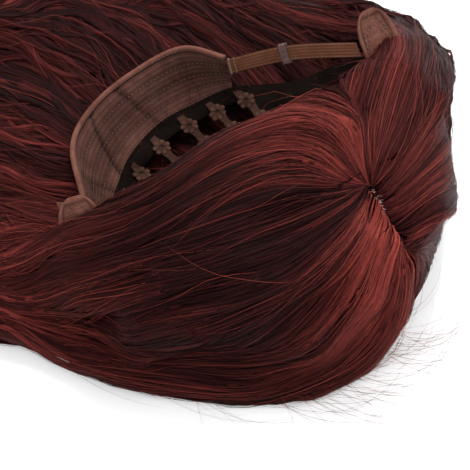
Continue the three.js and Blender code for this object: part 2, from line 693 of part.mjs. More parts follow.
// The parting is a wedge cut down to the scalp patch, shallower towards the crown.
function partingCut() {
  const steps = 6;
  const rings = [];
  for (let i = 0; i <= steps; i++) {
    const t = i / steps;
    const shallow = THREE.MathUtils.smoothstep(t, 0.15, 0.5);
    const floor = lerp(pieceGap + skinWall, partingShallow * hairDepth, shallow);
    const half = (partingWidth / 2) * (1 - 0.5 * t);
    const along = partingPlace(1).sub(partingPlace(0)).normalize();
    const station = lerp(whorl.station, partingEnd.station, t);
    const reach = lerp(whorl.reach, partingEnd.reach, t);
    const normal = netNormal(station, reach);
    const across = normal.clone().cross(along).normalize();
    const kink = partingKinks[Math.round(t * (partingKinks.length - 1))];
    const corner = (side, height) =>
      partingPlace(t)
        .addScaledVector(across, side + kink)
        .addScaledVector(normal, height);
    const top = 2 * hairDepth;
    const low = 0.5 * half;
    const high = 2.2 * half;
    rings.push([corner(-low, floor), corner(low, floor), corner(high, top), corner(-high, top)]);
  }
  return ringLoft(rings);
}

// Which way up a lock lies at a place: flat against the cap beside it, else flat on the table.
function layOf(point) {
  const middle = place(capMiddle);
  const halves = new THREE.Vector3(
    capHalfWidth,
    capMiddle.halfDepth * capDepth,
    capMiddle.halfHeight * capHeight,
  );
  const from = point.clone().sub(middle).divide(halves);
  const away = THREE.MathUtils.smoothstep(from.length(), 1.2, 1.7);
  from.z = Math.max(from.z, 0);
  const outward = from.divide(halves).normalize();
  return outward.lerp(new THREE.Vector3(0, 0, 1), away).normalize();
}

// Places over the net with the way out from each, apart from its underside.
const netFaces = [];
for (let i = 0; i < netRounds; i++) {
  for (const reach of netReaches) {
    const station = (i / netRounds) * stations;
    const face = { point: netPoint(station, reach), normal: netNormal(station, reach) };
    if (face.normal.z > -0.3) netFaces.push(face);
  }
}

// A place moved out of the cap's hair, if it is within it.
function draped(point) {
  const near = netFaces.reduce((best, face) =>
    face.point.distanceToSquared(point) < best.point.distanceToSquared(point) ? face : best,
  );
  const height = point.clone().sub(near.point).dot(near.normal);
  const within = height > -2 * hairDepth && point.z > drapeFloor * capHeight;
  const sunk = within ? Math.max(hairDepth + lockLift - height, 0) : 0;
  return point.clone().addScaledVector(near.normal, sunk);
}

// The spine of a lock: its ways, then its free run over the table.
function lockCurve(lock) {
  const points = lock.ways.map(([across, along, up]) => place({ across, along, up }));
  const last = points[points.length - 1];
  const heading = radians(sweptHeading + lock.veer);
  const forward = new THREE.Vector3(Math.cos(heading), Math.sin(heading), 0);
  const aside = new THREE.Vector3(-forward.y, forward.x, 0);
  for (let k = 1; k <= lockBeats; k++) {
    const share = k / lockBeats;
    const sway = lock.sway * swayWidth * Math.sin(share * lock.beat * Math.PI);
    const point = last.clone().addScaledVector(forward, share * lock.run * hairTail);
    point.addScaledVector(aside, sway);
    point.z = lerp(last.z, tipHeight, share);
    points.push(point);
  }
  const loose = new THREE.CatmullRomCurve3(points, false, "centripetal");
  const spine = loose.getSpacedPoints(2 * lockSteps).map(draped);
  return new THREE.CatmullRomCurve3(spine, false, "centripetal");
}

// A lock is a flattened section swept along its spine, narrow at its root and its tip.
function lockSolid(lock, grow = 0) {
  const curve = lockCurve(lock);
  const rings = [];
  for (let i = 0; i <= lockSteps; i++) {
    const t = i / lockSteps;
    const tangent = curve.getTangentAt(t);
    const past = { 0: -grow, [lockSteps]: grow }[i] ?? 0;
    const centre = curve.getPointAt(t).addScaledVector(tangent, past);
    const side = tangent.clone().cross(layOf(centre)).normalize();
    const over = side.clone().cross(tangent).normalize();
    const root = lerp(lock.root, 1, THREE.MathUtils.smoothstep(t, 0, 0.3));
    const tip = lerp(1, lockTipShare, THREE.MathUtils.smoothstep(t, lockTipStart, 1));
    const halfWidth = (lockWidth * lock.width * root * tip) / 2 + grow;
    const halfDepth = (lockDepth * lock.depth * root * Math.sqrt(tip)) / 2 + grow;
    const ring = [];
    for (let k = 0; k < lockSides; k++) {
      const angle = ((k + 0.5) / lockSides) * Math.PI * 2;
      const wide = Math.sign(Math.cos(angle)) * Math.abs(Math.cos(angle)) ** 0.8;
      const tall = Math.sign(Math.sin(angle)) * Math.abs(Math.sin(angle)) ** 0.8;
      ring.push(
        centre
          .clone()
          .addScaledVector(side, wide * halfWidth)
          .addScaledVector(over, tall * halfDepth),
      );
    }
    rings.push(ring);
  }
  return ringLoft(rings);
}

// The assembly

const finishes = {
  net: { color: 0x141012, roughness: 0.9 },
  cloth: { color: 0x7a544c, roughness: 0.85 },
  elastic: { color: 0x7d5236, roughness: 0.8 },
  lace: { color: 0x5d4234, roughness: 0.9 },
  skin: { color: 0xb08a78, roughness: 0.6 },
  hair_dark: { color: 0x35140f, roughness: 0.45 },
  hair_light: { color: 0x5a1d18, roughness: 0.45 },
};

const wig = new THREE.Group();
wig.rotation.z = radians(restTurn);

function addPiece(name, slot, solid, edge = shortestEdge) {
  const finish = finishes[slot];
  const material = new THREE.MeshStandardMaterial({ ...finish, metalness: 0 });
  const mesh = new THREE.Mesh(geometryOf(largestBody(solid).simplify(edge)), material);
  mesh.name = name;
  wig.add(mesh);
}

function addCap() {
  const room = netRoom();
  const onNet = (name, slot, solid) => addPiece(name, slot, solid.subtract(room));
  addPiece("cap_net", "net", capNet());
  onNet("front_band", "cloth", frontBand());
  onNet("nape_band", "cloth", napeBand());
  onNet("nape_binding", "cloth", napeBinding());
  for (let index = 0; index <= wefts.columns; index++) {
    onNet(`lace_ribbon_${index + 1}`, "lace", laceRibbon(index));
  }
  for (const [name, tab] of Object.entries(earTabs)) onNet(name, "cloth", earTab(tab));
  for (const [name, ends] of Object.entries(strapEnds)) addPiece(name, "elastic", strapSolid(ends));
  addPiece("strap_keeper_right", "cloth", keeper(strapEnds.strap_right, keeperPlace, keeperWidth));
  onNet("scalp_patch", "skin", skinPatch());
}

function addHair() {
  const table = (solid) => solid.trimByPlane([0, 0, 1], restCut);
  const fittings = joined([
    napeBand(hairGap),
    napeBinding(hairGap),
    ...Object.values(earTabs).map((tab) => earTab(tab, hairGap)),
    ...Object.values(strapEnds).map((ends) => strapSolid(ends, 2 + hairGap)),
  ]);
  const cuts = joined([hollow(), partingCut(), skinPatch(pieceGap), fittings]);
  addPiece("crown_hair", "hair_dark", table(hairShell().subtract(cuts)), hairEdge);
  let taken = joined([hairShell(hairGap), hollow(), partingCut(), fittings]);
  for (const name of new Set(lockRows.map((row) => row.node))) {
    const locks = lockRows.filter((row) => row.node === name);
    const own = joined(locks.map((lock) => lockSolid(lock)));
    const slot = name === "fringe" ? "hair_light" : "hair_dark";
    addPiece(name, slot, table(own.subtract(taken)), hairEdge);
    taken = taken.add(joined(locks.map((lock) => lockSolid(lock, hairGap))));
  }
}

addCap();
addHair();

// The object's frame: its origin is the middle of its footprint on the table.
const object = new THREE.Group();
object.add(wig);
object.updateMatrixWorld(true);
const extent = new THREE.Box3().setFromObject(object, true);
const middle = extent.getCenter(new THREE.Vector3());
object.position.set(-middle.x, -middle.y, -extent.min.z);

export default object;
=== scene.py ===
import math

import bpy
import numpy as np
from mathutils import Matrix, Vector
from mathutils.bvhtree import BVHTree
from mathutils.kdtree import KDTree


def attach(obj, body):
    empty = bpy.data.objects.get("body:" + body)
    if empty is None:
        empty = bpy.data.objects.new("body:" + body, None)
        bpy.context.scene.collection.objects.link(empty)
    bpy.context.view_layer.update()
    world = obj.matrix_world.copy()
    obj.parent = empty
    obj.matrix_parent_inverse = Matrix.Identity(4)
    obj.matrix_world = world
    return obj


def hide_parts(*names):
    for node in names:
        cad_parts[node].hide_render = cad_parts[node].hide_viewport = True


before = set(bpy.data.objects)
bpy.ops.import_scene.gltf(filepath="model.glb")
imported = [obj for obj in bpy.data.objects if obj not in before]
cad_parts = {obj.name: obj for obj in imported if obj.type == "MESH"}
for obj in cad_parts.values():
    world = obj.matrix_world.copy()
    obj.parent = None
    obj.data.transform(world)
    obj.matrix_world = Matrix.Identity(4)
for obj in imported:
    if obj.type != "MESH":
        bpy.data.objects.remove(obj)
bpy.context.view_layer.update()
rng = np.random.default_rng(7)

# The cap's own frame, as the part is modelled: millimetres, x across, y towards the mouth.
CAP_HALF_WIDTH, CAP_DEPTH, CAP_HEIGHT = 120.0, 140.0, 88.0
REST_TURN = math.radians(38.9)
CAP_PLACE = np.array([120.612, -44.043, 0.0])
MM = 0.001
UP = np.array([0.0, 0.0, 1.0])


def to_row(points):
    """Cap millimetres to metres in the row frame."""
    x, y, z = np.moveaxis(np.asarray(points, float), -1, 0)
    c, s = math.cos(REST_TURN), math.sin(REST_TURN)
    return (np.stack([x * c - y * s, x * s + y * c, z], -1) + CAP_PLACE) * MM


def from_shares(points):
    """[across, along, up] shares to cap millimetres."""
    return np.asarray(points, float) * [CAP_HALF_WIDTH, -CAP_DEPTH, CAP_HEIGHT]


# Materials


def settle(made, inputs):
    """Sets values on a node's sockets, with _ for a space in their names."""
    for key, value in inputs.items():
        made.inputs[key.replace("_", " ")].default_value = value
    return made


class Look:
    """A material in the making, with short ways to add and join its nodes."""

    def __init__(self, name, **inputs):
        self.material = bpy.data.materials.new(name)
        self.material.use_nodes = True
        self.tree = self.material.node_tree
        self.shader = settle(self.tree.nodes["Principled BSDF"], inputs)

    def join(self, made, sources):
        for socket, source in sources.items():
            self.tree.links.new(source, made.inputs[socket])

    def add(self, kind, sources=None, **inputs):
        made = settle(self.tree.nodes.new("ShaderNode" + kind), inputs)
        self.join(made, sources or {})
        return made

    def attribute(self, name, output="Vector"):
        made = self.add("Attribute")
        made.attribute_name = name
        return made.outputs[output]

    def place(self):
        return self.add("TexCoord").outputs["Object"]

    def noise(self, place, **inputs):
        return self.add("TexNoise", {"Vector": place}, **inputs).outputs["Fac"]

    def ramp(self, source, *stops):
        """A colour ramp with two stops of (position, colour)."""
        made = self.add("ValToRGB", {"Fac": source})
        for element, (position, colour) in zip(made.color_ramp.elements, stops):
            element.position, element.color = position, (*colour, 1)
        return made.outputs["Color"]

    def times(self, one, other):
        mix = self.add("Mix")
        mix.data_type, mix.blend_type = "RGBA", "MULTIPLY"
        mix.inputs[0].default_value = 1.0
        self.join(mix, {6: one, 7: other})
        return mix.outputs[2]

    def vector(self, operation, *sources, scale=1.0):
        made = self.add("VectorMath")
        made.operation = operation
        made.inputs[3].default_value = scale
        self.join(made, dict(enumerate(sources)))
        return made.outputs["Vector"]

    def bump(self, height, strength, distance, **normal):
        made = self.add("Bump", {"Height": height, **normal}, Strength=strength, Distance=distance)
        self.join(self.shader, {"Normal": made.outputs["Normal"]})

    def coloured(self, colour):
        self.join(self.shader, {"Base Color": colour})
        return self.material


SHEEN = (1.0, 0.6, 0.56, 1)
FLATNESS = 2.2  # how much more the bodies of locks are lit as the hair's form than as their own


def strand_material(name):
    """Single fibres, each with its own tint."""
    look = Look(name, Roughness=0.45, Specular_IOR_Level=0.12, Specular_Tint=SHEEN)
    return look.coloured(look.attribute("tint", "Color"))


def shade_core_material(name):
    """The depth of the hair, painted near black as shade, with no shine."""
    look = Look(name, Roughness=1.0, Specular_IOR_Level=0.0)
    lines = look.noise(look.place(), Scale=900.0, Detail=3.0)
    return look.coloured(look.ramp(lines, (0.4, (0.006, 0.002, 0.002)), (0.7, (0.02, 0.005, 0.005))))


def lock_material(name):
    """The bodies of locks: a tint for each, with fine lines along the fibres."""
    look = Look(name, Roughness=0.5, Specular_IOR_Level=0.06, Specular_Tint=SHEEN)
    lines = look.noise(look.attribute("flow"), Scale=1.0, Detail=4.0, Roughness=0.7)
    shade = look.ramp(lines, (0.35, (0.12, 0.09, 0.1)), (0.7, (1.9, 1.7, 1.7)))
    form = look.vector("SCALE", look.attribute("over"), scale=FLATNESS)
    both = look.vector("ADD", form, look.add("NewGeometry").outputs["Normal"])
    look.bump(lines, 0.9, 0.0005, Normal=look.vector("NORMALIZE", both))
    return look.coloured(look.times(look.attribute("tint", "Color"), shade))


def grey(value):
    return (value,) * 3


def cloth_material(name, dark, light, pitch, ribbing, shine=0.15, relief=0.00025):
    """Woven cloth whose threads lie at a pitch in millimetres along the attribute "weave"."""
    look = Look(name, Roughness=0.85, Specular_IOR_Level=shine)
    weave, place = look.attribute("weave"), look.place()
    soil = look.noise(place, Scale=60.0, Detail=5.0, Roughness=0.7)
    fuzz = look.noise(place, Scale=2500.0, Detail=2.0)
    height = None
    for direction, amount in zip("XY", ribbing):
        # one band of a wave texture is pi / 10 of its scale's unit
        scale = math.pi / 10 / pitch
        threads = look.add("TexWave", {"Vector": weave}, Scale=scale, Distortion=0.6, Detail=1.0)
        threads.bands_direction = direction
        part = look.ramp(threads.outputs["Fac"], (0.0, grey(1 - amount)), (0.7, grey(1)))
        height = part if height is None else look.times(height, part)
    look.bump(height, 0.8, relief)
    tone = look.ramp(soil, (0.32, dark), (0.72, light))
    shaded = look.times(tone, look.ramp(height, (0.0, grey(0.42)), (0.8, grey(1.1))))
    colour = look.times(shaded, look.ramp(fuzz, (0.3, grey(0.75)), (0.7, grey(1.15))))
    return look.coloured(look.times(colour, look.attribute("tint", "Color")))


def thread_material(name, colour):
    """Sewing thread, twisted."""
    look = Look(name, Roughness=0.6, Specular_IOR_Level=0.08)
    twist = look.noise(look.place(), Scale=3000.0, Detail=2.0)
    look.bump(twist, 0.5, 0.0001)
    return look.coloured(look.ramp(twist, (0.3, [c * 0.55 for c in colour]), (0.7, colour)))


# Meshes


def build_mesh(name, points, polys, materials=(), indices=None):
    """An object from points and arrays of faces, each array of one corner count."""
    mesh = bpy.data.meshes.new(name)
    mesh.vertices.add(len(points))
    mesh.vertices.foreach_set("co", np.ascontiguousarray(points, np.float32).ravel())
    loops = np.concatenate([p.ravel() for p in polys]).astype(np.int32)
    totals = np.concatenate([np.full(len(p), p.shape[1], np.int32) for p in polys])
    mesh.loops.add(len(loops))
    mesh.loops.foreach_set("vertex_index", loops)
    mesh.polygons.add(len(totals))
    mesh.polygons.foreach_set("loop_start", (np.cumsum(totals) - totals).astype(np.int32))
    mesh.polygons.foreach_set("use_smooth", np.ones(len(totals), bool))
    for material in materials:
        mesh.materials.append(material)
    if indices is not None:
        mesh.polygons.foreach_set("material_index", np.ascontiguousarray(indices, np.int32))
    mesh.update(calc_edges=True)
    made = bpy.data.objects.new(name, mesh)
    bpy.context.scene.collection.objects.link(made)
    return made


def held(made, replaced=None):
    """Fixes a piece to the part, in place of the CAD node if one is named."""
    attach(made, "root")
    if replaced:
        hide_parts(replaced)


def set_attributes(made, **arrays):
    """Three values for each point under each name: the tint as a colour, the rest as vectors."""
    for name, values in arrays.items():
        kind, field = "FLOAT_VECTOR", "vector"
        if name == "tint":
            kind, field = "FLOAT_COLOR", "color"
            values = np.hstack([values, np.ones((len(values), 1))])
        attribute = made.data.attributes.new(name, kind, "POINT")
        attribute.data.foreach_set(field, np.ascontiguousarray(values, np.float32).ravel())


def mesh_arrays(mesh):
    """Points and triangles of a mesh."""
    mesh.calc_loop_triangles()
    points = np.empty(len(mesh.vertices) * 3, np.float32)
    mesh.vertices.foreach_get("co", points)
    triangles = np.empty(len(mesh.loop_triangles) * 3, np.int32)
    mesh.loop_triangles.foreach_get("vertices", triangles)
    return points.reshape(-1, 3).astype(float), triangles.reshape(-1, 3)


def unit(v):
    return v / np.maximum(np.linalg.norm(v, axis=-1, keepdims=True), 1e-9)


def smooth_step(x, low, high):
    t = np.clip((np.asarray(x, float) - low) / (high - low), 0, 1)
    return t * t * (3 - 2 * t)


def hump(x, width, power=2):
    return np.exp(-((x / width) ** power))


def reach_of(path):
    """How far along a path each of its points lies."""
    return np.concatenate([[0], np.cumsum(np.linalg.norm(np.diff(path, axis=0), axis=1))])


def read(at, reach, rows):
    """Rows of values at places along a reach."""
    return np.stack([np.interp(at, reach, column) for column in rows.T], -1)


def frames_of(paths, ups):
    """Side and over directions of paths (N, M, 3)."""
    along = unit(np.gradient(paths, axis=1))
    sides = unit(np.cross(along, ups))
    return sides, unit(np.cross(sides, along))


def ring_angles(corners):
    return np.arange(corners) / corners * 2 * np.pi - np.pi / 2


def tubes(paths, sides, overs, half_width, half_depth, corners):
    """Tubes along paths (N, M, 3), with closed ends: points, quads and end faces."""
    count, steps = paths.shape[:2]
    angles = ring_angles(corners)[:, None]
    wide = np.cos(angles) * (half_width[..., None] * sides)[:, :, None]
    deep = np.sin(angles) * (half_depth[..., None] * overs)[:, :, None]
    points = (paths[:, :, None, :] + wide + deep).reshape(-1, 3)
    grid = np.arange(count * steps * corners).reshape(count, steps, corners)
    after = np.roll(grid, -1, axis=2)
    quads = np.stack([grid[:, :-1], after[:, :-1], after[:, 1:], grid[:, 1:]], -1).reshape(-1, 4)
    return points, quads, np.concatenate([grid[:, 0, ::-1], grid[:, -1, :]])


def threads(paths, ups, half, corners):
    return tubes(paths, *frames_of(paths, ups), half, half, corners)


def sheet(top, bottom, keep=None, wrap=False):
    """A closed sheet between two grids of points, of the quads kept, the last row joined to the
    first by wrap: points, quads turned outwards, and which grid points they are."""
    count = top.shape[0] * top.shape[1]
    index = np.arange(count).reshape(top.shape[:2])
    if wrap:
        index = np.vstack([index, index[:1]])
    upper = np.stack([index[:-1, :-1], index[1:, :-1], index[1:, 1:], index[:-1, 1:]], -1)
    upper = upper[keep] if keep is not None else upper.reshape(-1, 4)
    starts, stops = upper.ravel(), np.roll(upper, -1, axis=1).ravel()
    lone = ~np.isin(starts * 2 * count + stops, stops * 2 * count + starts)
    a, b = starts[lone], stops[lone]
    quads = np.vstack([upper, upper[:, ::-1] + count, np.stack([b, a, a + count, b + count], -1)])
    used, quads = np.unique(quads, return_inverse=True)
    points, quads = np.vstack([top.reshape(-1, 3), bottom.reshape(-1, 3)])[used], quads.reshape(-1, 4)
    a, b, c, d = (points[quads[:, k]] for k in range(4))
    outward = (a + b + c + d) / 4 - points.mean(0)
    volume = np.einsum("ij,ij->i", outward, np.cross(c - a, d - b)).sum()
    return points, quads if volume > 0 else quads[:, ::-1], used % count


# Camera, floor and light
CAMERA_ELEVATION, CAMERA_DISTANCE = math.radians(55), 1.0
CAMERA_AIM = Vector((0.126612, -0.085043, 0.040))
MM_PER_PIXEL, PHOTO_SIDE, SENSOR = 0.65, 470, 36.0
FLOOR_GLOW = 0.16  # the photo's floor is near white right up to the hair
FLOOR_REACH, FLOOR_DROP = 3.0, 0.0005
LIGHTS = {  # place, aim, size, watts
    "key": ((0.15, 0.75, 1.15), (0.1, -0.05, 0.03), (0.9, 0.5), 16),
    "right": ((1.1, 0.1, 0.6), (0.15, -0.05, 0.05), (0.5, 0.8), 7),
    "front": ((-0.3, -0.9, 1.2), (0.1, -0.1, 0.03), (0.9, 0.9), 7),
}


def put(name, data, place, way):
    """An object at a place that looks along a way."""
    made = bpy.data.objects.new(name, data)
    made.location = place
    made.rotation_euler = way.to_track_quat("-Z", "Y").to_euler()
    bpy.context.scene.collection.objects.link(made)
    return made


def add_camera():
    back = Vector((0, -math.cos(CAMERA_ELEVATION), math.sin(CAMERA_ELEVATION)))
    data = bpy.data.cameras.new("camera")
    data.sensor_width = SENSOR
    data.lens = SENSOR * CAMERA_DISTANCE / (MM_PER_PIXEL * MM * PHOTO_SIDE)
    bpy.context.scene.camera = put("camera", data, CAMERA_AIM + back * CAMERA_DISTANCE, -back)


def add_stage():
    look = Look("floor", Base_Color=(*grey(0.93), 1), Roughness=0.8, Emission_Color=(1, 1, 1, 1),
        Emission_Strength=FLOOR_GLOW)
    corners = [(x * FLOOR_REACH, y * FLOOR_REACH, 0) for x, y in ((-1, -1), (1, -1), (1, 1), (-1, 1))]
    floor = build_mesh("floor", corners, [np.array([[0, 1, 2, 3]])], [look.material])
    floor.location.z = -FLOOR_DROP
    for name, (place, aim, size, watts) in LIGHTS.items():
        data = bpy.data.lights.new(name, "AREA")
        data.shape, data.energy = "RECTANGLE", watts
        data.size, data.size_y = size
        put(name, data, place, Vector(aim) - Vector(place))
    world = bpy.data.worlds.new("world")
    world.use_nodes = True
    settle(world.node_tree.nodes["Background"], {"Color": (0.97, 0.98, 1.0, 1), "Strength": 0.75})
    bpy.context.scene.world = world
    bpy.context.scene.view_settings.view_transform = "Standard"


# The cap's surfaces, as the part is modelled, in millimetres of the cap's frame.
MOUTH_EDGE = from_shares([
    [-0.08, 0.07, 0.955], [0.375, 0.115, 1.0], [0.82, 0.13, 0.99], [1.12, 0.04, 0.9],
    [1.05, -0.15, 0.64], [0.79, -0.3, 0.42], [0.5, -0.485, 0.365], [0.32, -0.57, 0.24],
    [0.07, -0.6, 0.2], [-0.21, -0.53, 0.2], [-0.43, -0.385, 0.27], [-0.65, -0.215, 0.41],
    [-0.83, -0.115, 0.52], [-0.9, -0.015, 0.68], [-0.71, 0.03, 0.82], [-0.42, 0.05, 0.91],
])
NAPE_EDGE = from_shares([
    [0.52, -0.56, 0.57], [0.385, -0.77, 0.51], [0.06, -0.83, 0.42], [-0.25, -0.78, 0.41],
    [-0.5, -0.63, 0.44], [-0.7, -0.29, 0.54],
])
MOUTH_CENTRE, CROWN_END = from_shares([[0.04, 0.21, 0.48], [0.04, 0.99, 0.46]])
TOP_FULLNESS, UNDER_FULLNESS, SIDE_FULLNESS = 0.55, 0.4, 0.8
NET_WALL, SEAT_GAP, PIECE_GAP = 1.2, 0.8, 0.4
LINING = -NET_WALL - SEAT_GAP  # the height of what is sewn inside the net
NAPE_FIRST, NAPE_LAST = 6, 10  # stations of the nape's corners
WEFT_COLUMNS, WEFT_ROWS, WEFT_FIRST, WEFT_LAST, BAR_SHARE = 5, 2, 0.05, 0.42, 0.36
BAND_WALL, BAND_GROOVE, BAND_RIBS, BAND_DIP, BAND_WIDTH = 2.2, 0.8, 4, 2.5, 36
BAND_CREASES = ((0.2, 0.05, 0.5), (0.44, 0.06, 1.0), (0.67, -0.1, 1.3), (0.86, 0.05, 0.8))
PUCKER_PITCH, BAND_STITCH_LINES = 3.3, (0.03, 0.25, 0.5, 0.75, 0.94)
BINDING_RADIUS = 1.9
NET_ROUNDS, NET_REACHES = 160, np.concatenate([np.linspace(0, 0.5, 31), np.linspace(0.55, 0.985, 8)])
STATION_LENGTH, NET_LENGTH = 36, 220  # millimetres of weave for a station and for a whole reach
LACE_FIRST, LACE_LAST, LACE_FLOWERS = 0.015, WEFT_LAST + 0.04, 5
TAB_LENGTH, TAB_HALF_WIDTH, TAB_WALL, TAB_STAND, TAB_BOW = 31, 15, 1.8, 1.6, 2.5
EAR_TABS = {  # station, way out, way across
    "ear_tab_right": (3.12, [0.1, 0.75, 0.66], [-0.86, 0.34, 0.3]),
    "ear_tab_left": (12.2, [0.25, 0.8, 0.6], [0.88, -0.1, 0.44]),
}
STRAP_WIDTH, STRAP_WALL, KEEPER_PLACE, KEEPER_HALF, KEEPER_ROOM = 11, 1.2, 0.46, 2.5, 0.6
STRAPS = {  # tab, end of the nape band, share across it, two places on the way
    "strap_right": ("ear_tab_right", 0.0, 0.8, [0.76, -0.31, 0.78], [1.01, -0.055, 0.93]),
    "strap_left": ("ear_tab_left", 1.0, 0.55, [-0.84, -0.32, 0.58], [-0.86, -0.2, 0.64]),
}
FRONT_FIRST, FRONT_DEPTH, FRONT_WALL = 0.004, 0.126, 1.2


def curve(a, b, c, d, w):
    """Points at shares w of the way from b to c, on the smooth curve through a, b, c and d."""
    return 0.5 * (2 * b + (c - a) * w + (2 * a - 5 * b + 4 * c - d) * w**2
        + (3 * b - a - 3 * c + d) * w**3)


def through(points, t, closed=False):
    """Points at shares t of the even smooth curve through the given ones."""
    p, t, count = np.asarray(points, float), np.asarray(t, float), len(points)
    if closed:
        at = (t % 1) * count
        k = np.floor(at).astype(int)
        p = np.vstack([p[-1:], p, p[:3]])
    else:
        at = np.clip(t, 0, 1) * (count - 1)
        k = np.minimum(np.floor(at).astype(int), count - 2)
        p = np.vstack([2 * p[0] - p[1], p, 2 * p[-1] - p[-2]])
    return curve(*(p[k + i] for i in range(4)), (at - k)[..., None])


def net_point(station, reach):
    """The net's outer face: station round the mouth, reach 0 at the mouth to 1 at the crown."""
    station, reach = np.broadcast_arrays(np.asarray(station, float), np.asarray(reach, float))
    edge = through(MOUTH_EDGE, station / len(MOUTH_EDGE), True)
    turn = np.clip(reach, 0, 1) * np.pi / 2
    cosine = np.maximum(np.cos(turn), 0)
    near, far = cosine[..., None] ** SIDE_FULLNESS, np.sin(turn)[..., None] ** SIDE_FULLNESS
    rise = cosine ** np.where(edge[..., 2] > MOUTH_CENTRE[2], TOP_FULLNESS, UNDER_FULLNESS)
    flat = MOUTH_CENTRE + (edge - MOUTH_CENTRE) * near + (CROWN_END - MOUTH_CENTRE) * far
    height = CROWN_END[2] + (edge[..., 2] - CROWN_END[2]) * rise
    return np.concatenate([flat[..., :2], height[..., None]], -1)


def net_normal(station, reach):
    at = np.clip(reach, 0.02, 0.96)
    station = np.asarray(station, float)
    around = net_point(station + 0.02, at) - net_point(station - 0.02, at)
    return unit(np.cross(net_point(station, at + 0.02) - net_point(station, at - 0.02), around))


def net_offset(station, reach, height):
    height = np.asarray(height, float)[..., None]
    return net_point(station, reach) + net_normal(station, reach) * height


def band_seat(t):
    return net_point(NAPE_FIRST + np.clip(t, 0, 1) * (len(NAPE_EDGE) - 1), 0.0)


def band_edge(t):
    return through(NAPE_EDGE, t)


def band_across(t, share):
    share = np.asarray(share, float)[..., None]
    return band_seat(t) * (1 - share) + band_edge(t) * share


def upward(directions):
    return directions * np.where(directions[..., 2:] < 0, -1, 1)


def band_normal(t, share):
    along = unit(band_across(t + 0.01, share) - band_across(t - 0.01, share))
    return upward(unit(np.cross(band_edge(t) - band_seat(t), along)))


def grid_of(first, second):
    return np.meshgrid(first, second, indexing="ij")


def weave_of(along, across):
    return np.stack(np.broadcast_arrays(along, across, 0.0), -1)


class Piece:
    """Collects closed bodies in cap millimetres into one object with weave and tint attributes."""

    def __init__(self):
        self.points, self.weave, self.tint, self.polys, self.slots = [], [], [], [], []
        self.size = 0

    def add(self, points, polys, slot, weave, tint=1.0):
        self.points.append(points)
        self.weave.append(weave)
        self.tint.append(np.ones((len(points), 3)) * np.reshape(tint, (-1, 1)))
        self.polys += [poly + self.size for poly in polys]
        self.slots += [np.full(len(poly), slot) for poly in polys]
        self.size += len(points)

    def add_sheet(self, top, bottom, weave, tint=1.0, **options):
        points, quads, used = sheet(top, bottom, **options)
        tints = np.broadcast_to(tint, top.shape[:2]).ravel()
        self.add(points, [quads], 0, weave.reshape(-1, 3)[used], tints[used])

    def add_tube(self, path, over, radius, corners, slot):
        """One tube along a path of points, with a radius for each or for all."""
        half = np.broadcast_to(radius, (1, len(path)))
        points, *polys = threads(path[None], over, half, corners)
        around = np.tile(np.arange(corners) * 2 * np.pi / corners * half.max(), len(path))
        self.add(points, polys, slot, weave_of(np.repeat(reach_of(path), corners), around))

    def add_stitches(self, path, over, length=2.4, gap=0.9, radius=0.22):
        """A row of stitches along a dense path, each a short thread that dips at its ends."""
        reach = reach_of(path)
        firsts = np.arange(gap, reach[-1] - length, length + gap)
        at = firsts[:, None] + np.linspace(0, length, 5)
        ups = unit(read(at, reach, over))
        lift = 0.1 + radius * np.array([-0.25, 0.8, 1.0, 0.8, -0.25])
        half = np.broadcast_to(radius * np.array([0.5, 1, 1, 1, 0.5]), at.shape)
        points, *polys = threads(read(at, reach, path) + ups * lift[:, None], ups, half, 5)
        self.add(points, polys, 1, points)

    def finish(self, node, materials, slot, ending=None):
        points, indices = to_row(np.vstack(self.points)), np.concatenate(self.slots)
        made = build_mesh(f"{node}_{ending or slot}", points, self.polys, materials, indices)
        set_attributes(made, weave=np.vstack(self.weave), tint=np.vstack(self.tint))
        held(made, node)


def band_height(t, share):
    """How far the band's middle dips and waves, in millimetres."""
    waves = 0.45 * np.sin(9 * t + 4 * share) + 0.3 * np.sin(23 * t - 5 * share + 1)
    return (waves - BAND_DIP) * np.sin(np.pi * share)


def nape_band_piece(materials):
    """The quilted band: ribs, puckered stitch lines and creases."""
    piece = Piece()
    stations = np.linspace(0, 1, 190)
    t, share = grid_of(stations, np.linspace(0.012, 1, 49))
    s = t * reach_of(band_across(stations, 0.5))[-1]
    middle, normal = band_across(t, share), band_normal(t, share)
    ribs = np.abs(np.sin(np.pi * share * BAND_RIBS))
    pucker = 0.22 * np.cos(2 * np.pi * s / PUCKER_PITCH) * hump(ribs, 0.55)
    lines = np.cos(2 * np.pi * share * BAND_RIBS * 3)
    crease = -sum(depth * hump(t - at - lean * (share - 0.5), 0.014)
        for at, lean, depth in BAND_CREASES)
    half = (BAND_WALL + 0.4 - (BAND_GROOVE + 0.7) * (1 - ribs**0.5)) / 2
    lift = band_height(t, share) + crease
    top = middle + normal * (lift + half + pucker + 0.13 * lines)[..., None]
    bottom = middle + normal * (lift - half)[..., None]
    # Painted shade and highlight: the band is darker towards its dipped middle, in the grooves between its
    # ribs and in its creases, and lighter on its raised fine lines.
    tint = 0.8 + 0.14 * np.cos(np.pi * share * 2) + 0.16 * lines
    tint = tint * (1 - 0.55 * hump(ribs, 0.22) + 0.4 * crease)
    piece.add_sheet(top, bottom, weave_of(s, share * BAND_WIDTH), tint)
    fine = np.linspace(0.01, 0.99, 400)
    for line in BAND_STITCH_LINES:
        over = band_normal(fine, np.full(400, line))
        height = 0.55 + band_height(fine, line)
        piece.add_stitches(band_across(fine, np.full(400, line)) + over * height[..., None], over)
    piece.finish("nape_band", materials, "cloth")


def binding_path(count):
    t = np.linspace(0, 1, count)
    outward = unit(band_edge(t) - band_seat(t))
    over = upward(unit(np.cross(unit(np.gradient(band_edge(t), axis=0)), outward)))
    return band_edge(t) + outward * (BINDING_RADIUS + 1.5 * PIECE_GAP), outward, over


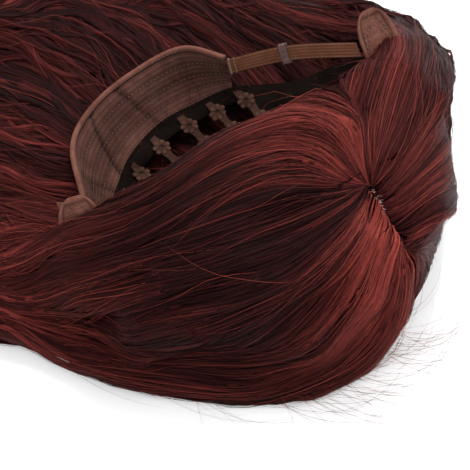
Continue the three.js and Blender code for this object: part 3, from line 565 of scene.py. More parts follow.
def binding_piece(materials):
    """Piping round a cord, gathered slightly between its stitches."""
    piece = Piece()
    path, _, over = binding_path(150)
    piece.add_tube(path, over, BINDING_RADIUS * (1 + 0.05 * np.cos(np.arange(150) * 1.9)), 12, 0)
    path, outward, over = binding_path(500)
    way = over - outward
    piece.add_stitches(path + way * BINDING_RADIUS * 0.75, unit(way), 2.0, 1.0, 0.2)
    piece.finish("nape_binding", materials, "cloth")


def net_piece(materials):
    """The cap's net, pierced by the gaps between its wefts, with rows of weft on its inside."""
    piece = Piece()
    stations = np.arange(NET_ROUNDS) / NET_ROUNDS * len(MOUTH_EDGE)
    station, reach = grid_of(stations, NET_REACHES)
    column, row = grid_of(stations + stations[1] / 2, (NET_REACHES[:-1] + NET_REACHES[1:]) / 2)
    column = (column - NAPE_FIRST) / (NAPE_LAST - NAPE_FIRST) * WEFT_COLUMNS
    row = (row - WEFT_FIRST) / ((WEFT_LAST - WEFT_FIRST) / WEFT_ROWS)
    gap = (column > 0) & (column < WEFT_COLUMNS) & (row > 0) & (row < WEFT_ROWS)
    gap &= (np.abs(column % 1 - 0.5) < (1 - BAR_SHARE) / 2) & (row % 1 < 1 - BAR_SHARE)
    weave = weave_of(station * STATION_LENGTH, reach * NET_LENGTH)
    top, bottom = net_point(station, reach), net_offset(station, reach, -NET_WALL)
    piece.add_sheet(top, bottom, weave, keep=~gap, wrap=True)
    around, inward = np.linspace(NAPE_FIRST - 2.5, NAPE_LAST + 2.5, 90), np.linspace(0.15, 0.9, 24)
    wefts = [(around, np.full(90, level), 0.55) for level in (0.275, 0.45, 0.52, 0.6, 0.68)]
    wefts += [(np.full(24, station), inward, 0.4) for station in np.linspace(-3.5, 3.5, 11)]
    for station, reach, radius in wefts:
        path = net_offset(station, reach, -NET_WALL - 0.2)
        piece.add_tube(path, net_normal(station, reach), radius, 4, 1)
    piece.finish("cap_net", materials, "net", "mesh")


def lace_piece(number, materials):
    """A lace ribbon: a thin scalloped strip under a chain of flowers with open eyes."""
    piece = Piece()
    station = NAPE_FIRST + (NAPE_LAST - NAPE_FIRST) / WEFT_COLUMNS * (number - 1)
    share, column = grid_of(np.linspace(0, 1, 49), np.linspace(-1, 1, 9))
    reach = LACE_FIRST + (LACE_LAST - LACE_FIRST) * share
    spine = net_point(station, reach[:, :1])
    per_station = np.linalg.norm(net_point(station + 0.1, reach[:, :1]) - spine, axis=-1) / 0.1
    across = column * (2.4 + 1.4 * np.abs(np.sin(share * np.pi * LACE_FLOWERS)))
    at = station + across / per_station
    inner = net_offset(at, reach, LINING - 0.75 - 0.18 * hump(np.abs(column) - 1, 0.12))
    outer = net_offset(at, reach, LINING - 0.15)
    piece.add_sheet(inner, outer, weave_of(reach_of(spine[:, 0])[:, None], across), 0.75)
    for k in range(LACE_FLOWERS):
        flower(piece, station, LACE_FIRST + (LACE_LAST - LACE_FIRST) * (k + 0.5) / LACE_FLOWERS)
    piece.finish(f"lace_ribbon_{number}", materials, "lace")


def flower(piece, station, reach, radius=6.4, petals=7):
    """A round motif of padded petals about an open eye, on the net's inner face."""
    normal = -net_normal(station, reach)
    along = unit(net_point(station, reach + 0.01) - net_point(station, reach - 0.01))
    angle, ring = grid_of(np.arange(48) / 48 * 2 * np.pi, np.linspace(0.24, 1, 6))
    petal = np.abs(np.cos(angle * petals / 2))
    out = radius * (1 - 0.3 * (1 - petal) ** 2 * ring) * ring
    way = (np.cross(normal, along) * (np.cos(angle) * out)[..., None]
        + along * (np.sin(angle) * out)[..., None])
    flat = net_offset(station, reach, LINING - 0.9) + way
    pad = 0.25 + 0.55 * petal**0.7 * np.sin(np.pi * np.clip(ring, 0, 0.98)) + 0.3 * (ring < 0.3)
    tint = 0.55 + 0.75 * petal * ring
    piece.add_sheet(flat + normal * pad[..., None], flat - normal * 0.1,
        weave_of(angle * 6, ring * 6), tint, wrap=True)


def ear_tab_piece(name, materials):
    """A rounded flap with a piped rim, a stay down its middle and two rows of stitches."""
    piece = Piece()
    station, out, side = EAR_TABS[name]
    root, out = net_point(station, 0.0), unit(np.array(out))
    side = unit(np.array(side) - out * np.dot(side, out))
    normal = np.cross(side, out)

    def at(across, share, height):
        half = TAB_HALF_WIDTH * np.sqrt(np.maximum(1 - share**3.2, 0.02))
        bow = TAB_BOW * (1 - across**2) * np.sin(np.pi * share)
        return (root + out * (TAB_STAND + TAB_LENGTH * share)[..., None]
            + side * (across * half)[..., None] + normal * (bow + height)[..., None])

    across, share = grid_of(np.linspace(-1, 1, 41), np.linspace(0, 0.985, 41))
    stay = 0.5 * hump(across, 0.16, 4) * smooth_step(share, 0.05, 0.15)
    quilt = 0.22 * np.cos(share * 2 * np.pi * 6) * (1 - np.abs(across))
    edge = np.minimum(1 - np.abs(across), 1.6 * (1 - share))
    roll = 0.55 * hump(edge - 0.1, 0.09) - 0.35 * hump(edge - 0.26, 0.05)
    half = TAB_WALL / 2 - 0.35 + roll + stay + quilt
    # Painted highlight along the raised piped rim and painted shade in the groove inside it.
    tint = 0.85 + 0.25 * hump(edge - 0.1, 0.1) - 0.45 * hump(edge - 0.26, 0.06)
    weave = weave_of(share * TAB_LENGTH, across * TAB_HALF_WIDTH)
    piece.add_sheet(at(across, share, half), at(across, share, -half), weave, tint)
    sweep = np.linspace(-1, 1, 200)
    for inset in (0.8, 0.6):
        rim_share = (1 - np.abs(sweep) ** 3) * inset * 0.98 + 0.02
        rim_across = np.sign(sweep) * np.abs(sweep) ** 0.8 * inset
        for face in (1, -1):
            path = at(rim_across, rim_share, face * (TAB_WALL / 2 - 0.2))
            piece.add_stitches(path, np.broadcast_to(normal * face, path.shape), 2.2, 1.3, 0.28)
    piece.finish(name, materials, "cloth")


def strap_frame(name, share):
    """Places, side and over directions along a strap, and its length."""
    tab, nape, seat, *ways = STRAPS[name]
    outward = unit(band_edge(nape) - band_edge(abs(nape - 0.01)))
    start = band_across(nape, seat) + outward * (PIECE_GAP + STRAP_WALL / 2)
    fine = through([start, *from_shares(ways)], np.linspace(0, 1, 300))
    reach = reach_of(fine)
    at, share = share * reach[-1], share[..., None]
    ends = unit(band_edge(nape) - band_seat(nape)), unit(np.array(EAR_TABS[tab][1]))
    side = unit(ends[0] * (1 - share) + ends[1] * share)
    over = upward(unit(np.cross(unit(read(at, reach, np.gradient(fine, axis=0))), side)))
    return read(at, reach, fine), side, over, reach[-1]


def strap_piece(name, materials):
    """Elastic with cords along it, and a folded and sewn end at the nape."""
    piece = Piece()
    share, across = grid_of(np.linspace(0, 1, 110), np.linspace(-1, 1, 31))
    path, side, over, length = strap_frame(name, share)
    cords = np.cos(across * np.pi * 5)
    ripple = 0.05 * np.cos(share * length * 2 * np.pi / 1.1)
    half = STRAP_WALL / 2 - 0.1 + 0.1 * cords + ripple - 0.3 * np.abs(across) ** 8
    aside, over = across * STRAP_WIDTH / 2, over * half[..., None]
    flat = path + side * aside[..., None]
    # Painted shade: lighter on the raised cords and darker between them. The strap is also darker along its
    # two edges.
    tint = 0.95 + 0.12 * cords - 0.4 * (np.abs(across) > 0.9)
    piece.add_sheet(flat + over, flat - over, weave_of(share * length, aside), tint)
    sweep = np.linspace(-0.5, 0.5, 28)[:, None] * (STRAP_WIDTH + 0.8)
    for place, radius in ((0.018, 0.75), (0.06, 0.35)):
        path, side, over, _ = strap_frame(name, np.full(28, place))
        piece.add_tube(path + side * sweep + over * 0.5, over, radius, 8, 1)
    path, side, over, _ = strap_frame(name, np.linspace(0.01, 0.99, 500))
    for edge in (-0.8, 0.8):
        row = path + side * edge * STRAP_WIDTH / 2 + over * 0.5
        piece.add_stitches(row, over, 2.0, 1.2, 0.15)
    piece.finish(name, materials, "elastic")


def keeper_piece(materials):
    """The cloth loop round the right strap, with turned edges."""
    piece = Piece()
    path, side, over, _ = strap_frame("strap_right", np.array([KEEPER_PLACE]))
    angle, across = grid_of(np.arange(48) / 48 * 2 * np.pi, np.linspace(-1, 1, 15) * KEEPER_HALF)
    x, y = (np.sign(wave) * np.abs(wave) ** 0.28 for wave in (np.cos(angle), np.sin(angle)))
    middle = path + unit(np.cross(side, over)) * across[..., None]

    def loop(wall):
        wide, deep = STRAP_WIDTH / 2 + KEEPER_ROOM + wall, STRAP_WALL / 2 + KEEPER_ROOM + wall
        return middle + side * (x * wide)[..., None] + over * (y * deep)[..., None]

    turn = 0.2 * np.cos(across / KEEPER_HALF * np.pi * 2)
    piece.add_sheet(loop(1.0 + turn), loop(0.0), weave_of(angle * 4, across), wrap=True)
    piece.finish("strap_keeper_right", materials, "cloth")


def front_band_piece(materials):
    """The band inside the forehead's edge, with a sewn hem on either side."""
    piece = Piece()
    station, share = grid_of(np.linspace(-1.8, 1.9, 90), np.linspace(0, 1, 17))
    reach = FRONT_FIRST + FRONT_DEPTH * share
    hem = 0.25 * hump(np.minimum(share, 1 - share) - 0.1, 0.07)
    inner, outer = net_offset(station, reach, LINING - FRONT_WALL - hem), net_offset(station, reach, LINING)
    piece.add_sheet(inner, outer, weave_of(station * STATION_LENGTH, share * 22))
    dense = np.linspace(-1.75, 1.85, 500)
    for line in (0.17, 0.83):
        level = FRONT_FIRST + FRONT_DEPTH * line
        over = -net_normal(dense, level)
        piece.add_stitches(net_offset(dense, level, LINING - FRONT_WALL), over, radius=0.2)
    piece.finish("front_band", materials, "cloth")


# The flow of the hair. Each guide is a way that hair takes, root first, in shares. A lock's way goes
# on over the table: how far its heading veers, the share of the tail's length, sway and its beat.
HAIR_TAIL, SWAY_WIDTH, SWEPT_HEADING, TAIL_END_HEIGHT, TAIL_POINTS = 215.0, 15.0, 141.1, 5.0, 5
lock_ways = [
    (-2, 0.42, 0.3, 1.6, [[0.38, 0.59, 1.07], [0.51, 0.3, 1.14], [0.1, 0.08, 1.08],
        [-0.45, 0.08, 1.02], [-0.83, -0.08, 0.66], [-1.17, -0.32, 0.32]]),
    (-6, 0.34, -0.3, 1.6, [[0.33, 0.62, 1.06], [0.27, 0.31, 1.11], [-0.13, 0.16, 1.07],
        [-0.64, 0.11, 0.98], [-0.95, -0.09, 0.52], [-1.28, -0.31, 0.27]]),
    (-10, 0.26, 0.3, 1.4, [[0.27, 0.65, 1.05], [0.06, 0.39, 1.09], [-0.39, 0.27, 1.03],
        [-0.8, 0.18, 0.89], [-1.07, -0.08, 0.39], [-1.38, -0.29, 0.23]]),
    (-2, 0.72, 0.7, 2.4, [[0.3, 0.66, 0.97], [-0.14, 0.6, 1], [-0.55, 0.44, 0.94],
        [-0.85, 0.27, 0.82], [-1.08, -0.07, 0.3], [-1.44, -0.37, 0.17]]),
    (-8, 0.62, -0.6, 2.2, [[0.29, 0.74, 1.02], [-0.12, 0.78, 0.94], [-0.54, 0.67, 0.88],
        [-0.78, 0.36, 0.39], [-1.11, -0.04, 0.17], [-1.47, -0.34, 0.14]]),
    (-14, 0.62, 0.7, 2.2, [[0.3, 0.86, 0.95], [-0.03, 0.98, 0.73], [-0.38, 0.83, 0.34],
        [-0.77, 0.53, 0.23], [-1.07, 0.14, 0.14], [-1.34, -0.22, 0.11]]),
    (-22, 0.55, -0.6, 2, [[0.28, 0.96, 0.84], [0.18, 1.05, 0.41], [-0.12, 1.03, 0.16],
        [-0.56, 0.83, 0.11], [-0.91, 0.49, 0.1], [-1.19, 0.13, 0.09]]),
    (-3, 0.95, 0.7, 2.6, [[-0.44, -0.32, 0.18], [-0.66, -0.57, 0.23], [-0.9, -0.81, 0.2],
        [-1.19, -0.99, 0.16]]),
    (1, 1, 0.8, 3, [[-0.62, -0.24, 0.16], [-0.88, -0.4, 0.22], [-1.05, -0.56, 0.2],
        [-1.21, -0.74, 0.16]]),
    (6, 0.9, -0.9, 2.6, [[-0.5, -0.42, 0.14], [-0.68, -0.66, 0.24], [-0.81, -0.86, 0.22],
        [-0.97, -1.08, 0.17]]),
    (9, 0.95, 0.9, 2.8, [[-0.3, -0.54, 0.14], [-0.43, -0.92, 0.23], [-0.52, -1.17, 0.22],
        [-0.7, -1.42, 0.17]]),
    (15, 0.8, -0.8, 2.4, [[-0.02, -0.6, 0.13], [-0.06, -1.08, 0.22], [-0.16, -1.42, 0.21],
        [-0.37, -1.72, 0.16]]),
    (22, 0.75, 0.8, 2.6, [[0.3, -0.56, 0.14], [0.32, -1.04, 0.22], [0.22, -1.44, 0.2],
        [0.02, -1.86, 0.16]]),
    (30, 0.7, -0.7, 2.2, [[0.68, -0.34, 0.16], [0.71, -0.78, 0.2], [0.65, -1.22, 0.19],
        [0.5, -1.6, 0.15]]),
    (32, 0.55, 0.6, 2, [[0.98, -0.24, 0.16], [1.02, -0.53, 0.23], [0.94, -0.91, 0.24],
        [0.8, -1.41, 0.2]]),
    (30, 0.35, 0.4, 1.6, [[0.42, 0.59, 1.07], [0.72, 0.39, 1.1], [1.06, 0.18, 1.04],
        [1.42, -0.14, 0.61], [1.33, -0.38, 0.41], [1.11, -0.67, 0.28], [0.93, -1, 0.23],
        [0.76, -1.34, 0.2]]),
    (34, 0.4, -0.4, 1.6, [[0.4, 0.7, 1.04], [0.69, 0.58, 1.06], [1.01, 0.39, 1.05],
        [1.5, -0.1, 0.39], [1.52, -0.37, 0.25], [1.37, -0.67, 0.19], [1.19, -1.07, 0.17]]),
    (34, 0.3, 0.4, 1.4, [[0.28, 0.94, 0.88], [0.5, 0.86, 0.92], [1.03, 0.49, 0.34],
        [1.44, 0.09, 0.18], [1.57, -0.25, 0.12], [1.42, -0.56, 0.11], [1.27, -0.93, 0.1]]),
]
crown_ways = [
    [[0.35, 0.69, 1.04], [0.17, 0.8, 0.97], [-0.07, 0.91, 0.84], [-0.31, 0.93, 0.63], [-0.57, 0.86, 0.39]],
    [[0.34, 0.78, 1], [0.16, 0.91, 0.87], [-0.04, 1, 0.69], [-0.23, 1, 0.41], [-0.5, 0.92, 0.16]],
    [[0.31, 0.88, 0.92], [0.18, 1.01, 0.7], [0, 1.1, 0.57], [-0.19, 1.08, 0.3], [-0.53, 0.95, 0.11]],
    [[0.33, 0.68, 1.04], [0.08, 0.72, 0.99], [-0.28, 0.77, 0.92], [-0.56, 0.66, 0.57], [-0.85, 0.47, 0.3]],
    [[0.34, 0.63, 1.01], [0.11, 0.58, 1.04], [-0.2, 0.52, 1.01], [-0.57, 0.43, 0.94], [-0.83, 0.19, 0.45]],
    [[0.34, 0.62, 1.06], [0.35, 0.43, 1.09], [0.24, 0.26, 1.09], [-0.07, 0.14, 1.08], [-0.46, 0.09, 1.02]],
    [[0.34, 0.6, 1.06], [0.46, 0.38, 1.1], [0.47, 0.17, 1.12], [0.36, 0.06, 1.12], [0.05, 0.0, 1.05]],
    [[0.38, 0.62, 1.07], [0.53, 0.49, 1.1], [0.78, 0.32, 1.09], [1.05, 0.17, 1.04]],
    [[0.38, 0.63, 1.06], [0.59, 0.57, 1.09], [0.9, 0.44, 1.06], [1.2, 0.2, 0.9], [1.4, -0.05, 0.6]],
    [[0.37, 0.7, 1.03], [0.53, 0.67, 1.06], [0.75, 0.64, 1.06], [1.1, 0.5, 0.8], [1.25, 0.3, 0.45]],
    [[0.35, 0.76, 1.01], [0.49, 0.76, 1.01], [0.65, 0.77, 1], [0.88, 0.7, 0.86], [1.08, 0.55, 0.5],
        [1.25, 0.3, 0.2]],
    [[0.33, 0.83, 0.96], [0.45, 0.84, 0.96], [0.59, 0.86, 0.89], [0.85, 0.78, 0.55], [1.05, 0.55, 0.2]],
    [[0.31, 0.89, 0.91], [0.41, 0.92, 0.9], [0.62, 0.9, 0.6], [0.8, 0.8, 0.3], [1.0, 0.6, 0.1]],
    [[0.29, 0.94, 0.87], [0.38, 0.98, 0.72], [0.45, 1.02, 0.4], [0.4, 1.06, 0.1]],
    [[0.28, 0.96, 0.84], [0.3, 1.04, 0.6], [0.22, 1.1, 0.3], [0.1, 1.1, 0.1]],
]
PARTING = np.array([[0.36, 0.64, 1.06], [0.35, 0.74, 1.02], [0.33, 0.83, 0.97], [0.3, 0.92, 0.89]])
GUIDE_SPACING = 0.006


def spline(points, spacing):
    """Points at a spacing along a smooth curve through the given ones, with its directions."""
    p = np.vstack([2 * points[0] - points[1], points, 2 * points[-1] - points[-2]])
    t = np.linspace(0, 1, 16, endpoint=False)[:, None]
    fine = np.vstack([*(curve(*p[k:k + 4], t) for k in range(len(p) - 3)), p[-2:-1]])
    reach = reach_of(fine)
    even = read(np.linspace(0, reach[-1], max(int(reach[-1] / spacing), 2) + 1), reach, fine)
    return even, unit(np.gradient(even, axis=0))


def lock_way(veer, run, sway, beat, ways):
    """A lock's spine in cap millimetres: its ways, then its free run over the table."""
    points = from_shares(ways)
    heading, last = math.radians(SWEPT_HEADING + veer), points[-1]
    forward = np.array([math.cos(heading), math.sin(heading), 0])
    aside = np.array([-forward[1], forward[0], 0])
    share = np.linspace(0, 1, TAIL_POINTS + 1)[1:, None]
    tail = last + forward * share * run * HAIR_TAIL
    tail = tail + aside * sway * SWAY_WIDTH * np.sin(share * beat * np.pi)
    tail[:, 2:] = last[2] + (TAIL_END_HEIGHT - last[2]) * share
    return np.vstack([points, tail])


def tree_of(points, triangles):
    return BVHTree.FromPolygons(points.tolist(), triangles.tolist())


guides = [spline(to_row(lock_way(*lock)), GUIDE_SPACING) for lock in lock_ways]
guides += [spline(to_row(from_shares(way)), GUIDE_SPACING) for way in crown_ways]
guide_points, guide_ways = (np.vstack(rows) for rows in zip(*guides))
guide_names = np.repeat(np.arange(len(guides)), [len(points) for points, _ in guides])
guide_tree = KDTree(len(guide_points))
for i, point in enumerate(guide_points):
    guide_tree.insert(point, i)
guide_tree.balance()
parting_line = to_row(from_shares(PARTING))
parting_parts = [(a, b - a, np.dot(b - a, b - a)) for a, b in zip(parting_line[:-1], parting_line[1:])]
parting_dense = np.vstack([np.linspace(a, a + way, 6) for a, way, _ in parting_parts])

# The form of the hair: its solids as one, with their small gaps closed.
HAIR_NODES = ["crown_hair", "fringe", "side_hair_left", "top_hair_left", "back_hair_left",
    "back_hair_mid", "back_hair_right", "side_hair_right"]
FORM_VOXEL, CORE_VOXEL = 0.0035, 0.006
SLAB_TOP, SLAB_BOTTOM = 0.0065, 0.001


def solid_arrays(name):
    return mesh_arrays(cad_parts[name].data)


def remeshed(parts, voxel, rounds):
    """Points and triangles of solids fused at a voxel size and smoothed."""
    starts = np.cumsum([0] + [len(points) for points, _ in parts])
    triangles = [triangles + start for (_, triangles), start in zip(parts, starts)]
    made = build_mesh("scratch", np.vstack([points for points, _ in parts]), triangles)
    fuse = made.modifiers.new("fuse", "REMESH")
    fuse.mode, fuse.voxel_size = "VOXEL", voxel
    soften = made.modifiers.new("soften", "SMOOTH")
    soften.factor, soften.iterations = 0.5, rounds
    evaluated = made.evaluated_get(bpy.context.evaluated_depsgraph_get())
    out = mesh_arrays(evaluated.to_mesh())
    evaluated.to_mesh_clear()
    mesh = made.data
    bpy.data.objects.remove(made)
    bpy.data.meshes.remove(mesh)
    return out


def slab(flat):
    """A closed mass lying on the table over a grid of places."""
    top, bottom = flat.copy(), flat.copy()
    top[..., 2], bottom[..., 2] = SLAB_TOP, SLAB_BOTTOM
    points, quads, _ = sheet(top, bottom)
    return points, np.vstack([quads[:, :3], quads[:, [0, 2, 3]]])


def nape_roots():
    """The roots of the nape's hair, a flat mass on the table under the edge of the mouth."""
    station = np.linspace(3.2, 11, 44)
    edge = net_point(station, 0.0)
    outward = edge - net_point(station, 0.08)
    outward[:, 2] = 0
    return slab(to_row(edge[:, None] + unit(outward)[:, None] * np.linspace(-18, 40, 11)[:, None]))


def bed(first, last):
    """Hair lying flat on the table between two locks."""
    x, y = grid_of(*(np.linspace(*ends) for ends in zip(first, last, (8, 7))))
    return slab(np.stack([x, y, 0 * x], -1))


hair_solids = {name: solid_arrays(name) for name in HAIR_NODES}
masses = {
    "nape_roots": nape_roots(),
    "strap_bed": bed((0.190, 0.080), (0.232, 0.118)),
    "tail_bed": bed((-0.045, -0.141), (0.016, -0.124)),
}
form_points, form_triangles = remeshed([*hair_solids.values(), *masses.values()], FORM_VOXEL, 8)
form = tree_of(form_points, form_triangles)
solid_trees = {name: tree_of(*arrays) for name, arrays in hair_solids.items()}
net_tree = tree_of(*solid_arrays("cap_net"))


def on_form(point):
    found, normal, _, _ = form.find_nearest(Vector(point))
    return np.array(found), np.array(normal)


def from_parting(point):
    """The way from the parting to a place, its distance, and the parting's way there."""
    nearest = None
    for start, way, square in parting_parts:
        t = min(max(np.dot(point - start, way) / square, 0.0), 1.0)
        away = point - start - way * t
        gap = math.sqrt(np.dot(away, away))
        if nearest is None or gap < nearest[1]:
            nearest = away, gap, way / math.sqrt(square)
    away, gap, along = nearest
    return away / max(gap, 1e-6), gap, along


FLOW_REACH, FLOW_NEIGHBOURS = 0.02, 10
FAN_REACH = 0.017  # how far the parting sets the way of the hair
LEFT_LEAN, RIGHT_LEAN = 0.75, -0.12  # how much hair leans along the parting as it leaves it


def flow_at(point, normal):
    """The way the hair runs at a place on its surface."""
    total = np.zeros(3)
    for _, index, distance in guide_tree.find_n(Vector(point), FLOW_NEIGHBOURS):
        total += guide_ways[index] * (math.exp(-((distance / FLOW_REACH) ** 2) * 0.5) + 1e-4)
    total /= max(np.linalg.norm(total), 1e-9)
    away, gap, along = from_parting(point)
    near = math.exp(-((gap / FAN_REACH) ** 2))
    if near > 0.01:
        lean = LEFT_LEAN if np.cross(along, away)[2] < 0 else RIGHT_LEAN
        total = total * (1 - near) + (away + along * lean) * near
    total -= normal * np.dot(total, normal)
    return total / max(np.linalg.norm(total), 1e-9)


CAP_MIDDLE = to_row(from_shares([0.12, 0.46, 0.57]))
STEP, STEPS = 0.006, 14  # of a walk over the form, and rings of a lock
LONGEST, SHORTEST, FEWEST_STEPS = 0.17, 0.018, 5
PARTING_GAP, STRAY, TABLE_GAP, NET_GAP, WALK_FLOOR = 0.0009, 0.36, 0.0025, 0.0045, 0.0008


def form_seeds(count):
    """Places spread over the outside of the form, closer together by the parting."""
    a, b, c = (form_points[form_triangles[:, k]] for k in range(3))
    cross, centres = np.cross(b - a, c - a), (a + b + c) / 3
    area = np.linalg.norm(cross, axis=1) / 2
    up = cross[:, 2] / np.maximum(2 * area, 1e-12)
    gap = np.min([np.linalg.norm(centres - p, axis=1) for p in parting_line], axis=0)
    weight = area * (0.45 + 0.55 * smooth_step(up, -0.5, 0.3)) * (1 + 1.6 * hump(gap, 0.045))
    faces = rng.choice(len(area), count, p=weight / weight.sum())
    u, v = rng.random(count), rng.random(count)
    flip = u + v > 1
    u[flip], v[flip] = 1 - u[flip], 1 - v[flip]
    places = a[faces] + (b - a)[faces] * u[:, None] + (c - a)[faces] * v[:, None]
    for place, normal in zip(places, cross[faces] / (2 * area[faces, None])):
        on_table = place[2] < TABLE_GAP and normal[2] < -0.5
        if not on_table and net_tree.find_nearest(Vector(place))[3] > NET_GAP:
            yield place


def freedom(place):
    """How free of the cap the hair lies there, 0 to 1."""
    return smooth_step(np.linalg.norm(place - CAP_MIDDLE, axis=-1), 0.13, 0.22)


def walk(here, up, length, sense, stray, phase):
    """A way over the form from a place, with the hair (sense 1) or against it (-1). It strays from
    the flow by turns of up to the angle stray where the hair is free."""
    rows = []
    for k in range(max(int(length / STEP), 1)):
        step = min(STEP, max(0.3 * from_parting(here)[1], 0.0015)) if sense < 0 else STEP
        way = flow_at(here, up) * sense
        turn = stray * (0.12 + 0.88 * freedom(here)) * math.sin(phase + 0.5 * k * sense)
        way = way * math.cos(turn) + np.cross(up, way) * math.sin(turn)
        there, up_there = on_form(here + way * step)
        if np.linalg.norm(there - here) < 0.45 * step or there[2] < WALK_FLOOR:
            break
        if sense < 0 and from_parting(there)[1] < PARTING_GAP:
            break
        here, up = there, up_there
        rows.append((here, up))
    return rows


def grow_locks(count):
    """Ways of locks over the form: (N, STEPS, 3) points and normals, and each one's node."""
    ways, ups, nodes = [], [], []
    for place in list(form_seeds(count)):
        length = LONGEST * (0.45 + 0.55 * rng.random())
        place, normal = on_form(place)
        bent = rng.normal(0, STRAY), rng.uniform(0, 2 * np.pi)
        ahead = walk(place, normal, length * 0.6, 1, *bent)
        behind = walk(place, normal, length * 0.4, -1, *bent)
        points, normals = (np.array(rows) for rows in zip(*behind[::-1], (place, normal), *ahead))
        reach = reach_of(points)
        if len(points) < FEWEST_STEPS or reach[-1] < SHORTEST:
            continue
        at = np.linspace(0, reach[-1], STEPS)
        ways.append(read(at, reach, points))
        ups.append(unit(read(at, reach, normals)))
        nodes.append(min(HAIR_NODES, key=lambda n: solid_trees[n].find_nearest(Vector(place))[3]))
    return np.array(ways), np.array(ups), np.array(nodes)


# Fibre colours, linear
DARK, MIDDLE, BRIGHT = np.array([
    [0.011, 0.0028, 0.0030], [0.066, 0.0120, 0.0108], [0.32, 0.056, 0.043],
])
# Places that are redder or darker: shares, radius in metres, and how much. Some are the hair's own red
# streaks; the rest are painted highlight where the hair curves up to the light and painted shade where it
# lies in shadow.
TONE_AND_LIGHT_PLACES = [
    ([0.20, 0.07, 1.08], 0.045, 0.22), ([0.38, 0.14, 1.12], 0.030, 0.18),
    ([0.17, 0.84, 0.91], 0.026, 0.42), ([0.08, 1.00, 0.68], 0.030, 0.60),
    ([0.10, 0.97, 0.15], 0.032, 0.50), ([0.04, 0.83, 0.93], 0.018, 0.30),
    ([1.12, 0.13, 1.00], 0.030, 0.22), ([0.86, 0.47, 1.07], 0.030, 0.12),
    ([-0.45, 0.51, 0.95], 0.055, -0.26), ([-0.47, 0.33, 1.00], 0.040, -0.18),
    ([-0.30, 0.76, 0.92], 0.040, -0.18), ([-0.69, 0.20, 0.95], 0.040, -0.10),
    ([-0.92, -0.65, 0.23], 0.050, 0.16), ([-1.24, -0.25, 0.16], 0.060, 0.22),
    ([0.20, -1.20, 0.25], 0.110, -0.14), ([0.60, -0.80, 0.25], 0.070, -0.12),
]
# A painted sheen: the hair is lighter in a wide ring about the whorl, where the light catches it.
WHORL_RADIUS, WHORL_PAINTED_SHEEN = 0.050, 0.3
tone_centres = np.vstack([to_row(from_shares([row[0] for row in TONE_AND_LIGHT_PLACES])), parting_line[0]])
tone_radii = np.array([row[1] for row in TONE_AND_LIGHT_PLACES] + [WHORL_RADIUS])
tone_amounts = np.array([row[2] for row in TONE_AND_LIGHT_PLACES] + [WHORL_PAINTED_SHEEN])
STREAM_WIDTH, STREAM_COUNT = 0.0028, 96
STREAMS = rng.random((len(guides), STREAM_COUNT))


def tint_of(value):
    """value from 0, dark, to 1, bright red."""
    v = np.clip(value, 0, 1)[..., None] * 2
    return DARK + (MIDDLE - DARK) * np.clip(v, 0, 1) + (BRIGHT - MIDDLE) * np.clip(v - 1, 0, 1)


# Tone by place: the hair's own red streaks, with painted highlight and painted shade.
def tone_and_painted_light(places):
    apart = np.linalg.norm(places[..., None, :] - tone_centres, axis=-1)
    return (tone_amounts * hump(apart, tone_radii)).sum(-1)


def stream_at(place, normal):
    """The tone of the hair's stream there: streams follow each guide side by side."""
    _, index, _ = guide_tree.find(Vector(place))
    side = np.cross(guide_ways[index], normal)
    cell = np.dot(place - guide_points[index], side) / STREAM_WIDTH + STREAM_COUNT / 2
    low = int(np.clip(cell, 0, STREAM_COUNT - 2))
    row = STREAMS[guide_names[index]]
    return row[low] + (row[low + 1] - row[low]) * np.clip(cell - low, 0, 1)


def parting_gaps(places):
    return np.min([np.linalg.norm(places - p, axis=-1) for p in parting_dense], axis=0)


# How hair lies, in metres: heights over the table first.
WAY_FLOOR, BODY_FLOOR, FACE_FLOOR, FIBRE_FLOOR, CORE_FLOOR = 0.0012, 0.0008, 0.0001, 0.0004, 0.0002
WAVE_SWING, WAVE_LIFT = 0.0042, 0.0016
BODY_HALF_WIDTH, BODY_LIFT, BODY_TILT, BODY_FLOW = (0.0012, 0.0034), (-0.0005, 0.0009), 0.28, (1.8, 3.2)
BODY_DEPTH, FREE_DEPTH = 0.0004, 0.0006
FIBRE_SPREAD, FIBRE_HEIGHT, FIBRE_HALF = (0.002, 0.0056), (0.0005, 0.0021), (0.00009, 0.00018)
FIBRE_WANDER, FIBRE_PACE = 0.0006, (3, 8)
FIBRE_STEPS, FIBRE_SIDES, BODY_SIDES = 9, 3, 3


def above(floor, points):
    """The points, none lower over the table than the floor."""
    points[..., 2] = np.maximum(points[..., 2], floor)
    return points


def rows_of(draw, *limits):
    """A random number for each row of a grid, with its range or its middle and spread."""
    *limits, count = limits
    return draw(*limits, count)[:, None]


def waved(ways, ups):
    """Locks that swing from side to side together where the hair lies free."""
    sides, overs = frames_of(ways, ups)
    free = freedom(ways)
    turn = ways[..., 0] * 46 + ways[..., 1] * 61
    swing = WAVE_SWING * np.sin(turn + 1.4 * np.sin(ways[..., 0] * 33)) * free
    lift = WAVE_LIFT * (1 + np.sin(turn * 0.9 + 2.0)) * free
    return above(WAY_FLOOR, ways + sides * swing[..., None] + overs * lift[..., None])


def bulge(t, share, start, power):
    """A swelling along t that is nearly closed at both ends."""
    return np.sin(np.pi * np.clip(t * share + start, 0, 1)) ** power


